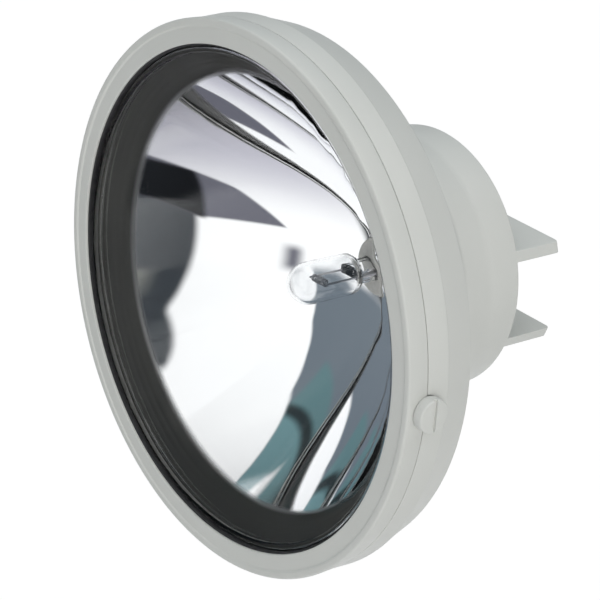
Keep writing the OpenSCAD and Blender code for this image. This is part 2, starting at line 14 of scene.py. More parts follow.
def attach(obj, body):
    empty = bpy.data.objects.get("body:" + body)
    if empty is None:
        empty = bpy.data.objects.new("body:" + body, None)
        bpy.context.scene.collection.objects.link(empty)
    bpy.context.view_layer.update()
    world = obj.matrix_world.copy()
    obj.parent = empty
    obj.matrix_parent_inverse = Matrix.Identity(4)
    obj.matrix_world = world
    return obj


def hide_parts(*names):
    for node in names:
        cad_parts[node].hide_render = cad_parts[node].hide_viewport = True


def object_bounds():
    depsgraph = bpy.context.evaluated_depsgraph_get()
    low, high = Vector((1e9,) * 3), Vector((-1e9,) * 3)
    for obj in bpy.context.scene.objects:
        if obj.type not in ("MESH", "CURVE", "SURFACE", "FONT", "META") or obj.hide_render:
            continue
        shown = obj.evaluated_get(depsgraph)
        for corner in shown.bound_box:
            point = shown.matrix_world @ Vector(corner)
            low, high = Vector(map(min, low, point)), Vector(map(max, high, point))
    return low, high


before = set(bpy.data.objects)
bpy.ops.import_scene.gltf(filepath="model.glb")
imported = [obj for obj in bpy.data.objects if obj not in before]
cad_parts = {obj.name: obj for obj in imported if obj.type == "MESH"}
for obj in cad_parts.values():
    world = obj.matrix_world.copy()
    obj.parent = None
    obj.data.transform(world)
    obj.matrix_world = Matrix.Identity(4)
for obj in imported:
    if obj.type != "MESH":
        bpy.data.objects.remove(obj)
CAD_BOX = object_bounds()
LOG = logging.getLogger("searchlight")
MM = 0.001
NEAR = 1e-6
TURN_STEPS = 224
MID_STEPS = 96
SMALL_STEPS = 64
ROUND_STEPS = 4
NOISE_SPAN = (0.3, 0.7)
SMOOTH_ANGLE = math.radians(32)
FRONT_Y = -80.0 * MM
COAT_R = 61.5 * MM

Object = bpy.types.Object
Socket = bpy.types.NodeSocket
Triple = tuple[float, float, float]


class Join(Enum):
    """Ways in which one solid changes another."""

    ADD = "UNION"
    CUT = "DIFFERENCE"


class Body(Enum):
    """Bodies of the frame that pieces ride on."""

    HEAD = "head"
    LOCK = "lock_right"


@dataclass(frozen=True)
class Corner:
    """One corner of a turned outline.

    Attributes:
        r: Distance from the axis.
        s: Depth along the axis.
        cut: Length that the corner's round takes of each side, 0 for a sharp corner.
    """

    r: float
    s: float
    cut: float = 0.0


class Bench:
    """The modelling operators that the sub-assemblies share."""

    @staticmethod
    def clear() -> None:
        """Leaves edit mode and deselects every object."""
        if bpy.context.object is not None and bpy.context.object.mode != "OBJECT":
            bpy.ops.object.mode_set(mode="OBJECT")
        bpy.ops.object.select_all(action="DESELECT")

    @staticmethod
    def take(obj: Object) -> None:
        """Makes one object the only selected and active one."""
        Bench.clear()
        obj.select_set(True)
        bpy.context.view_layer.objects.active = obj

    @staticmethod
    def named(name: str) -> Object:
        """Names the object that an operator has just added.

        Args:
            name: New name of the object and its mesh.

        Returns:
            The added object.
        """
        obj = bpy.context.active_object
        obj.name = name
        obj.data.name = name
        return obj

    @staticmethod
    def pick(obj: Object, test: Callable[[Vector], bool]) -> None:
        """Selects, in edit mode, the vertices that pass a test and nothing else.

        Args:
            obj: Object in edit mode.
            test: Takes a vertex's place and says whether it is wanted.
        """
        mesh = bmesh.from_edit_mesh(obj.data)
        for face in mesh.faces:
            face.select = False
        for edge in mesh.edges:
            edge.select = False
        for vert in mesh.verts:
            vert.select = bool(test(vert.co))
        mesh.select_mode = {"VERT", "EDGE", "FACE"}
        mesh.select_flush_mode()
        bmesh.update_edit_mesh(obj.data)

    @staticmethod
    def place(obj: Object, matrix: Matrix) -> Object:
        """Moves a mesh to its place and leaves the object at the origin.

        Args:
            obj: Object at the origin.
            matrix: Where it goes.

        Returns:
            The same object.
        """
        Bench.take(obj)
        obj.matrix_world = matrix
        bpy.ops.object.transform_apply(location=True, rotation=True, scale=True)
        return obj

    @staticmethod
    def tidy(obj: Object) -> Object:
        """Merges doubled points and turns all faces outwards."""
        Bench.take(obj)
        bpy.ops.object.mode_set(mode="EDIT")
        bpy.ops.mesh.select_all(action="SELECT")
        bpy.ops.mesh.remove_doubles(threshold=NEAR)
        bpy.ops.mesh.normals_make_consistent(inside=False)
        bpy.ops.object.mode_set(mode="OBJECT")
        return obj

    @staticmethod
    def join(target: Object, tool: Object, way: Join) -> Object:
        """Adds a tool's solid to a target or cuts it away, and deletes the tool.

        Args:
            target: Solid that is changed.
            tool: Solid that changes it.
            way: Whether the tool is added or cut away.

        Returns:
            The target.
        """
        Bench.take(target)
        bpy.ops.object.modifier_add(type="BOOLEAN")
        change = target.modifiers[-1]
        change.operation = way.value
        change.solver = "MANIFOLD"
        change.object = tool
        bpy.ops.object.modifier_apply(modifier=change.name)
        bpy.data.objects.remove(tool)
        return target

    @staticmethod
    def merge(name: str, parts: Sequence[Object]) -> Object:
        """Puts several meshes into one object.

        Args:
            name: Name of the result.
            parts: Objects at the origin, of which the first is kept.

        Returns:
            The joined object.
        """
        Bench.clear()
        for part in parts:
            part.select_set(True)
        bpy.context.view_layer.objects.active = parts[0]
        bpy.ops.object.join()
        return Bench.named(name)

    @staticmethod
    def soften(obj: Object, width: float, steps: int = 3) -> Object:
        """Rounds the sharp edges of a solid with an applied bevel.

        Args:
            obj: Solid to round.
            width: Width of the round.
            steps: Segments of the round.

        Returns:
            The same object.
        """
        Bench.take(obj)
        bpy.ops.object.modifier_add(type="BEVEL")
        bevel = obj.modifiers[-1]
        bevel.width = width
        bevel.segments = steps
        bevel.limit_method = "ANGLE"
        bevel.angle_limit = SMOOTH_ANGLE
        bpy.ops.object.modifier_apply(modifier=bevel.name)
        return obj

    @staticmethod
    def smooth(obj: Object) -> Object:
        """Shades a piece smooth except at its sharp edges."""
        Bench.take(obj)
        bpy.ops.object.shade_smooth_by_angle(angle=SMOOTH_ANGLE)
        return obj

    @staticmethod
    def turned(name: str, corners: Sequence[Corner], steps: int = TURN_STEPS) -> Object:
        """Turns an outline about the Y axis, as on a lathe.

        The outline is drawn by extruding one point from corner to corner. An outline that starts
        and ends on the axis closes there, and any other is closed from its last corner to its first.

        Args:
            name: Name of the piece.
            corners: The outline's corners, in order.
            steps: Steps of the full turn.

        Returns:
            A closed mesh about the Y axis, with depth along Y.
        """
        points = [Vector((c.r, c.s, 0.0)) for c in corners]
        Bench.clear()
        bpy.ops.mesh.primitive_plane_add(size=MM)
        obj = Bench.named(name)
        bpy.ops.object.mode_set(mode="EDIT")
        bpy.ops.mesh.merge(type="CENTER")
        bpy.ops.transform.translate(value=points[0])
        for start, end in zip(points, points[1:]):
            bpy.ops.mesh.extrude_region_move(TRANSFORM_OT_translate={"value": end - start})
        if max(corners[0].r, corners[-1].r) > NEAR:
            Bench.pick(obj, lambda co: min((co - points[0]).length, (co - points[-1]).length) < NEAR)
            bpy.ops.mesh.edge_face_add()
        for corner, point in zip(corners, points):
            if corner.cut > 0:
                Bench.pick(obj, lambda co, at=point: (co - at).length < NEAR)
                bpy.ops.mesh.bevel(offset=corner.cut, segments=ROUND_STEPS, affect="VERTICES")
        bpy.ops.mesh.select_all(action="SELECT")
        bpy.ops.mesh.spin(steps=steps, angle=math.tau, center=(0, 0, 0), axis=(0, 1, 0))
        return Bench.tidy(obj)

    @staticmethod
    def bar(name: str, r: float, start: Vector, end: Vector, sides: int = SMALL_STEPS) -> Object:
        """Makes a round bar from one point to another.

        Args:
            name: Name of the bar.
            r: Radius.
            start: Middle of one end.
            end: Middle of the other end.
            sides: Sides of its section.

        Returns:
            The bar, with its place in its mesh.
        """
        along = end - start
        Bench.clear()
        bpy.ops.mesh.primitive_cylinder_add(vertices=sides, radius=r, depth=along.length)
        turn = along.to_track_quat("Z", "Y").to_matrix().to_4x4()
        return Bench.place(Bench.named(name), Matrix.Translation((start + end) / 2) @ turn)

    @staticmethod
    def block(name: str, low: Vector, high: Vector) -> Object:
        """Makes a block between two corners, with its place in its mesh."""
        Bench.clear()
        bpy.ops.mesh.primitive_cube_add(size=1)
        size = Matrix.Diagonal((*(high - low), 1))
        return Bench.place(Bench.named(name), Matrix.Translation((low + high) / 2) @ size)


def on_axis(s: float) -> Vector:
    """Point on the lamp's axis at one depth."""
    return Vector((0.0, FRONT_Y + s, 0.0))


def arc(mid: tuple[float, float], radius: float, start: float, end: float, steps: int) -> list[Corner]:
    """Points along a round stretch of an outline.

    Args:
        mid: Radius and depth of the arc's centre.
        radius: Radius of the arc.
        start: First angle, from the radial direction towards the rear.
        end: Last angle.
        steps: Number of stretches.

    Returns:
        The corners from the first angle to the last.
    """
    angles = [start + (end - start) * i / steps for i in range(steps + 1)]
    return [Corner(mid[0] + radius * math.cos(a), mid[1] + radius * math.sin(a)) for a in angles]


class NodeBoard:
    """A node tree, with short calls to add and link its nodes."""

    def __init__(self, tree: bpy.types.NodeTree) -> None:
        """Takes the tree of a material or of the world."""
        self.tree = tree

    def add(self, kind: str) -> bpy.types.Node:
        """Adds a node of one kind."""
        return self.tree.nodes.new(kind)

    def link(self, start: Socket, end: Socket) -> None:
        """Links an output to an input."""
        self.tree.links.new(start, end)

    def feed(self, target: Socket, value: Socket | float | Sequence[float]) -> None:
        """Links an input to an output, or sets it to a value."""
        if isinstance(value, bpy.types.NodeSocket):
            self.link(value, target)
        else:
            target.default_value = value

    def math(self, operation: str, *values: Socket | float) -> Socket:
        """Adds one step of arithmetic.

        Args:
            operation: Name of the Math node's operation.
            values: Its inputs, in order.

        Returns:
            The result.
        """
        node = self.add("ShaderNodeMath")
        node.operation = operation
        for target, value in zip(node.inputs, values):
            self.feed(target, value)
        return node.outputs["Value"]

    def ease(self, value: Socket, low: float, high: float) -> Socket:
        """Rises smoothly from 0 to 1 while a value goes from one number to another."""
        node = self.add("ShaderNodeMapRange")
        node.interpolation_type = "SMOOTHSTEP"
        node.inputs["From Min"].default_value = low
        node.inputs["From Max"].default_value = high
        self.link(value, node.inputs["Value"])
        return node.outputs["Result"]

    def blend(self, share: Socket, first: Socket | Sequence[float], last: Socket | Sequence[float]) -> Socket:
        """Mixes two colours.

        Args:
            share: How much of the last colour shows.
            first: Colour at a share of 0.
            last: Colour at a share of 1.

        Returns:
            The mixed colour.
        """
        node = self.add("ShaderNodeMix")
        node.data_type = "RGBA"
        self.link(share, node.inputs[0])
        for target, colour in ((node.inputs[6], first), (node.inputs[7], last)):
            self.feed(target, colour if isinstance(colour, bpy.types.NodeSocket) else (*colour, 1))
        return node.outputs[2]

    def layer(self, share: Socket, under: Socket, over: Socket) -> Socket:
        """Lays a share of one shader over another.

        Args:
            share: How much of the upper shader shows.
            under: Shader at a share of 0.
            over: Shader at a share of 1.

        Returns:
            The mixed shader.
        """
        node = self.add("ShaderNodeMixShader")
        for target, value in zip(node.inputs, (share, under, over)):
            self.link(value, target)
        return node.outputs["Shader"]

    def axes(self, place: Socket) -> tuple[Socket, ...]:
        """Splits a place into its X, Y and Z."""
        node = self.add("ShaderNodeSeparateXYZ")
        self.link(place, node.inputs["Vector"])
        return tuple(node.outputs)

    def seen(self) -> Socket:
        """Adds a number that is 1 for rays which reach the camera by glass or mirror."""
        path = self.add("ShaderNodeLightPath").outputs
        return self.math("MAXIMUM", path["Is Glossy Ray"], path["Is Transmission Ray"])

    def straight(self) -> Socket:
        """Adds a number that is 1 for rays which the camera sees straight."""
        return self.add("ShaderNodeLightPath").outputs["Is Camera Ray"]


class FinishBoard(NodeBoard):
    """A material's nodes round one Principled shader."""

    def __init__(self, name: str) -> None:
        """Starts the material."""
        self.material = bpy.data.materials.new(name)
        self.material.use_nodes = True
        super().__init__(self.material.node_tree)
        self.shader = self.tree.nodes["Principled BSDF"]
        self.place = self.add("ShaderNodeTexCoord").outputs["Object"]

    def set(self, **values: Socket | float | Sequence[float]) -> None:
        """Sets or links the shader's own sockets, named with underscores for spaces."""
        for name, value in values.items():
            self.feed(self.shader.inputs[name.replace("_", " ")], value)

    def noise(self, scale: float, detail: float = 2.0, stretch: Triple | None = None) -> Socket:
        """Adds a noise pattern on the object's own coordinates.

        Args:
            scale: Waves for each metre.
            detail: Octaves of finer noise.
            stretch: Scale along each axis, for a drawn-out grain.

        Returns:
            The noise's value.
        """
        node = self.add("ShaderNodeTexNoise")
        node.inputs["Scale"].default_value = scale
        node.inputs["Detail"].default_value = detail
        source = self.place
        if stretch is not None:
            mapping = self.add("ShaderNodeMapping")
            mapping.inputs["Scale"].default_value = stretch
            self.link(self.place, mapping.inputs["Vector"])
            source = mapping.outputs["Vector"]
        self.link(source, node.inputs["Vector"])
        return node.outputs["Fac"]

    def span(self, value: Socket, low: float, high: float) -> Socket:
        """Maps the middle of a noise's range onto a span of numbers."""
        node = self.add("ShaderNodeMapRange")
        node.inputs["From Min"].default_value = NOISE_SPAN[0]
        node.inputs["From Max"].default_value = NOISE_SPAN[1]
        node.inputs["To Min"].default_value = low
        node.inputs["To Max"].default_value = high
        self.link(value, node.inputs["Value"])
        return node.outputs["Result"]

    def tones(self, value: Socket, dark: Sequence[float], light: Sequence[float]) -> Socket:
        """Maps the middle of a noise's range onto two tones.

        Args:
            value: The noise.
            dark: Colour at its low end.
            light: Colour at its high end.

        Returns:
            The mixed colour.
        """
        ramp = self.add("ShaderNodeValToRGB")
        first, last = ramp.color_ramp.elements
        first.position, last.position = NOISE_SPAN
        first.color = (*dark, 1)
        last.color = (*light, 1)
        self.link(value, ramp.inputs["Fac"])
        return ramp.outputs["Color"]

    def bump(self, height: Socket, distance: float, strength: float = 1.0) -> None:
        """Adds a bump to the shader, on top of any that it has.

        Args:
            height: The pattern.
            distance: Its height in metres.
            strength: Share of the effect.
        """
        node = self.add("ShaderNodeBump")
        node.inputs["Distance"].default_value = distance
        node.inputs["Strength"].default_value = strength
        self.link(height, node.inputs["Height"])
        normal = self.shader.inputs["Normal"]
        if normal.is_linked:
            self.link(normal.links[0].from_socket, node.inputs["Normal"])
        self.link(node.outputs["Normal"], normal)


@dataclass(frozen=True)
class MouldedPlastic:
    """Satin injection-moulded plastic with faint flow tones and a fine spark-eroded texture."""

    name: str
    dark: Triple
    light: Triple
    rough: tuple[float, float] = (0.42, 0.52)
    ior: float = 1.48
    cloud: float = 22.0
    grain: float = 2600.0
    grain_height: float = 0.00002

    def build(self) -> bpy.types.Material:
        """Makes the material."""
        board = FinishBoard(self.name)
        board.set(
            Base_Color=board.tones(board.noise(self.cloud, detail=4.0), self.dark, self.light),
            Roughness=board.span(board.noise(self.cloud * 9, detail=3.0), *self.rough),
            IOR=self.ior,
        )
        board.bump(board.noise(self.grain, detail=2.0), self.grain_height)
        board.bump(board.noise(self.cloud * 3, detail=1.0), self.grain_height * 3)
        return board.material


@dataclass(frozen=True)
class ClearGlass:
    """Clear pressed glass with a slow ripple and the faintest haze."""

    name: str
    tint: Triple
    gloss: float = 1.0
    ior: float = 1.5
    ripple: float = 55.0
    ripple_height: float = 0.00003
    haze: float = 0.012

    def build(self) -> bpy.types.Material:
        """Makes the material."""
        board = FinishBoard(self.name)
        board.set(
            Base_Color=(*self.tint, 1),
            Roughness=board.span(board.noise(self.ripple * 4, detail=3.0), 0.0, self.haze),
            IOR=self.ior,
            Specular_Tint=(self.gloss, self.gloss, self.gloss, 1),
            Transmission_Weight=1.0,
        )
        board.bump(board.noise(self.ripple, detail=1.0), self.ripple_height)
        return board.material


@dataclass(frozen=True)
class MirrorCoat:
    """Bright metallised coat on a glass bowl, with slight ripples, that ends short of a bare glass rim."""

    name: str
    dark: Triple
    light: Triple
    bare: Triple
    coat_r: float
    fade: float = 0.0016
    rough: tuple[float, float] = (0.015, 0.04)
    bare_rough: float = 0.2
    bare_gloss: float = 0.25
    cloud: float = 18.0
    wipe: float = 70.0
    ripple: float = 42.0
    ripple_height: float = 0.00002

    def build(self) -> bpy.types.Material:
        """Makes the material."""
        board = FinishBoard(self.name)
        x, _, z = board.axes(board.place)
        r = board.math("SQRT", board.math("ADD", board.math("MULTIPLY", x, x), board.math("MULTIPLY", z, z)))
        rim = board.ease(r, self.coat_r - self.fade, self.coat_r)
        coat = board.tones(board.noise(self.cloud, detail=3.0), self.dark, self.light)
        smear = board.span(board.noise(self.wipe, detail=4.0), *self.rough)
        board.set(
            Base_Color=board.blend(rim, coat, self.bare),
            Metallic=board.math("SUBTRACT", 1.0, rim),
            Roughness=board.math("MULTIPLY_ADD", rim, self.bare_rough, smear),
            Specular_IOR_Level=self.bare_gloss,
        )
        board.bump(board.noise(self.ripple, detail=1.0), self.ripple_height)
        return board.material


@dataclass(frozen=True)
class Rubber:
    """Matt black rubber with a fine grain."""

    name: str
    dark: Triple = (0.018, 0.018, 0.020)
    light: Triple = (0.034, 0.034, 0.036)
    rough: tuple[float, float] = (0.55, 0.72)
    cloud: float = 260.0
    wear: float = 500.0
    grain: float = 1800.0
    grain_height: float = 0.00003

    def build(self) -> bpy.types.Material:
        """Makes the material."""
        board = FinishBoard(self.name)
        board.set(
            Base_Color=board.tones(board.noise(self.cloud, detail=3.0), self.dark, self.light),
            Roughness=board.span(board.noise(self.wear), *self.rough),
        )
        board.bump(board.noise(self.grain), self.grain_height)
        return board.material


@dataclass(frozen=True)
class Ceramic:
    """Unglazed white ceramic with a dry, speckled face."""

    name: str
    dark: Triple = (0.80, 0.79, 0.74)
    light: Triple = (0.90, 0.89, 0.85)
    rough: tuple[float, float] = (0.55, 0.7)
    speck: float = 900.0
    wear: float = 400.0
    grain: float = 1500.0
    grain_height: float = 0.00004

    def build(self) -> bpy.types.Material:
        """Makes the material."""
        board = FinishBoard(self.name)
        board.set(
            Base_Color=board.tones(board.noise(self.speck, detail=4.0), self.dark, self.light),
            Roughness=board.span(board.noise(self.wear), *self.rough),
        )
        board.bump(board.noise(self.grain, detail=3.0), self.grain_height)
        return board.material


@dataclass(frozen=True)
class DrawnMetal:
    """Bare metal with a grain drawn out along the lamp's axis."""

    name: str
    dark: Triple
    light: Triple
    rough: tuple[float, float] = (0.22, 0.38)
    grain: float = 900.0
    grain_height: float = 0.00001
    draw: Triple = (1.0, 0.08, 1.0)

    def build(self) -> bpy.types.Material:
        """Makes the material."""
        board = FinishBoard(self.name)
        grain = board.noise(self.grain, detail=3.0, stretch=self.draw)
        board.set(
            Base_Color=board.tones(grain, self.dark, self.light),
            Metallic=1.0,
            Roughness=board.span(grain, *self.rough),
        )
        board.bump(grain, self.grain_height)
        return board.material


class Finish(Enum):
    """Every finish of the lamp, by the slot that the record gives it."""

    WHITE_PLASTIC = MouldedPlastic("white_plastic", (0.675, 0.680, 0.655), (0.715, 0.720, 0.695))
    LENS_GLASS = ClearGlass("lens_glass", (0.992, 0.998, 0.996), gloss=0.1)
    CAPSULE_GLASS = ClearGlass("capsule_glass", (0.98, 0.985, 0.99), ripple=140.0, ripple_height=0.00005)
    MIRROR = MirrorCoat("mirror", (0.93, 0.935, 0.95), (0.96, 0.965, 0.975), (0.062, 0.061, 0.054), COAT_R)
    BLACK_RUBBER = Rubber("black_rubber")
    CERAMIC = Ceramic("ceramic")
    STEEL = DrawnMetal("steel", (0.56, 0.57, 0.59), (0.72, 0.73, 0.75))
    TUNGSTEN = DrawnMetal("tungsten", (0.30, 0.30, 0.32), (0.46, 0.46, 0.48))
    BRASS = DrawnMetal("brass", (0.66, 0.50, 0.22), (0.82, 0.66, 0.34))
    RED_INSULATION = MouldedPlastic("red_insulation", (0.50, 0.045, 0.04), (0.62, 0.07, 0.06))
    BLACK_INSULATION = MouldedPlastic("black_insulation", (0.035, 0.035, 0.04), (0.06, 0.06, 0.065))
    BLOCK_PLASTIC = MouldedPlastic("block_plastic", (0.80, 0.80, 0.75), (0.87, 0.87, 0.83))


class Palette:
    """Makes each finish once and puts it on pieces."""

    def __init__(self) -> None:
        """Builds every material."""
        self.materials = {finish: finish.value.build() for finish in Finish}

    def dress(self, obj: Object, finish: Finish) -> None:
        """Gives an object one finish and names its slot.

        Args:
            obj: Piece or node of the frame.
            finish: Its finish.
        """
        material = self.materials[finish]
        if obj.material_slots:
            for slot in obj.material_slots:
                slot.material = material
        else:
            obj.data.materials.append(material)

    def mount(self, obj: Object, finish: Finish, body: Body, *nodes: str) -> Object:
        """Finishes a new piece and puts it in the place of nodes of the frame.

        Args:
            obj: New piece, in its place.
            finish: Its finish.
            body: Body that it rides on.
            nodes: Nodes that it stands for.

        Returns:
            The piece.
        """
        Bench.smooth(obj)
        self.dress(obj, finish)
        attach(obj, body.value)
        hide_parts(*nodes)
        LOG.info("%s: %d faces, rides on %s", obj.name, len(obj.data.polygons), body.value)
        return obj


AT_FRONT = Matrix.Translation((0.0, FRONT_Y, 0.0))


@dataclass(frozen=True)
class LampPlan:
    """Sizes that several sub-assemblies share, in metres. Depth s runs back from the opening's front edge."""

    opening_r: float = 70.0 * MM
    lip_t: float = 0.8 * MM
    gasket_t: float = 1.6 * MM
    lens_r: float = 71.2 * MM
    lens_rim_t: float = 2.6 * MM
    flange_t: float = 0.8 * MM
    cushion_t: float = 2.5 * MM
    mirror_r: float = 67.0 * MM
    mirror_depth: float = 49.9 * MM
    seam_s: float = 6.2 * MM
    seam_gap: float = 0.25 * MM
    seam_r: float = 76.7 * MM
    lap_r: float = 74.05 * MM
    spigot_in: float = 71.5 * MM
    spigot_out: float = 73.9 * MM
    shoulder_s: float = 2.9 * MM
    spigot_s: float = 3.05 * MM
    stud_r: float = 2.0 * MM
    stud_play: float = 0.05 * MM
    tab_r: float = 4.2 * MM
    tab_proud: float = 0.4 * MM
    head_r: float = 4.6 * MM
    fit_gap: float = 0.3 * MM

    @property
    def lens_s(self) -> float:
        """Depth of the lens rim's front face."""
        return self.lip_t + self.gasket_t

    @property
    def flange_s(self) -> float:
        """Depth of the front of the reflector's flange."""
        return self.lens_s + self.lens_rim_t

    @property
    def cushion_s(self) -> float:
        """Depth of the back of the reflector's flange."""
        return self.flange_s + self.flange_t

    @property
    def shelf_s(self) -> float:
        """Depth of the housing's shelf."""
        return self.cushion_s + self.cushion_t

    @property
    def vertex_s(self) -> float:
        """Depth of the mirror's vertex."""
        return self.cushion_s + self.mirror_depth

    @property
    def focal(self) -> float:
        """Focal length of the mirror."""
        return self.mirror_r**2 / (4 * self.mirror_depth)

    @property
    def focus_s(self) -> float:
        """Depth of the mirror's focus."""
        return self.vertex_s - self.focal

    @property
    def pad_x(self) -> float:
        """Distance of the lock tab's face from the lamp's axis."""
        return self.seam_r + self.tab_proud

    @property
    def lock_frame(self) -> Matrix:
        """Frame of the lock, whose Y axis runs out from the lamp's axis through the seam."""
        return Matrix.Translation((0.0, FRONT_Y + self.seam_s, 0.0)) @ Matrix.Rotation(-math.pi / 2, 4, "Z")

    def lock_point(self, x: float) -> Vector:
        """Point on the lock's axis, at a distance from the lamp's axis."""
        return Vector((x, FRONT_Y + self.seam_s, 0.0))


PLAN = LampPlan()


@dataclass(frozen=True)
class Bezel:
    """White ring that holds the lens: flat face, outer bead, a tab under the lock and a hooked tongue."""

    face_r: float = 74.5 * MM
    face_drop: float = 0.4 * MM
    bead_foot: float = 0.5 * MM
    front_r: float = 77.0 * MM
    inner_cut: float = 0.35 * MM
    foot_cut: float = 0.2 * MM
    outer_cut: float = 0.7 * MM
    seam_cut: float = 0.12 * MM
    hook_w: float = 12.0 * MM
    hook_t: float = 1.2 * MM
    weld: float = 0.5 * MM

    def build(self, palette: Palette) -> list[Object]:
        """Models and finishes the ring.

        Args:
            palette: Finishes.

        Returns:
            The ring.
        """
        seam = PLAN.seam_s - PLAN.seam_gap / 2
        ring = Bench.turned("bezel_ring", [
            Corner(PLAN.opening_r, 0.0, self.inner_cut),
            Corner(self.face_r, self.face_drop, self.foot_cut),
            Corner(self.face_r + self.bead_foot, 0.0, self.foot_cut),
            Corner(self.front_r, 0.0, self.outer_cut),
            Corner(PLAN.seam_r, seam, self.seam_cut),
            Corner(PLAN.lap_r, seam, self.seam_cut),
            Corner(PLAN.lap_r, PLAN.shoulder_s),
            Corner(PLAN.spigot_in, PLAN.shoulder_s),
            Corner(PLAN.spigot_in, PLAN.lip_t),
            Corner(PLAN.opening_r, PLAN.lip_t, self.seam_cut),
        ])
        Bench.place(ring, AT_FRONT)
        tab = Bench.bar("tab", PLAN.tab_r, PLAN.lock_point(PLAN.lap_r), PLAN.lock_point(PLAN.pad_x))
        rear = FRONT_Y + seam
        tongue = Bench.block("tongue",
                             Vector((-PLAN.lap_r - self.weld, rear - self.hook_t, -self.hook_w / 2)),
                             Vector((-PLAN.spigot_in - PLAN.fit_gap, rear, self.hook_w / 2)))
        Bench.join(ring, Bench.merge("added", [tab, tongue]), Join.ADD)
        bore = Bench.bar("bore", PLAN.stud_r + PLAN.stud_play, PLAN.lock_point(PLAN.opening_r),
                         PLAN.lock_point(PLAN.pad_x + PLAN.tab_r))
        Bench.join(ring, bore, Join.CUT)
        return [palette.mount(ring, Finish.WHITE_PLASTIC, Body.HEAD, "front_bezel")]


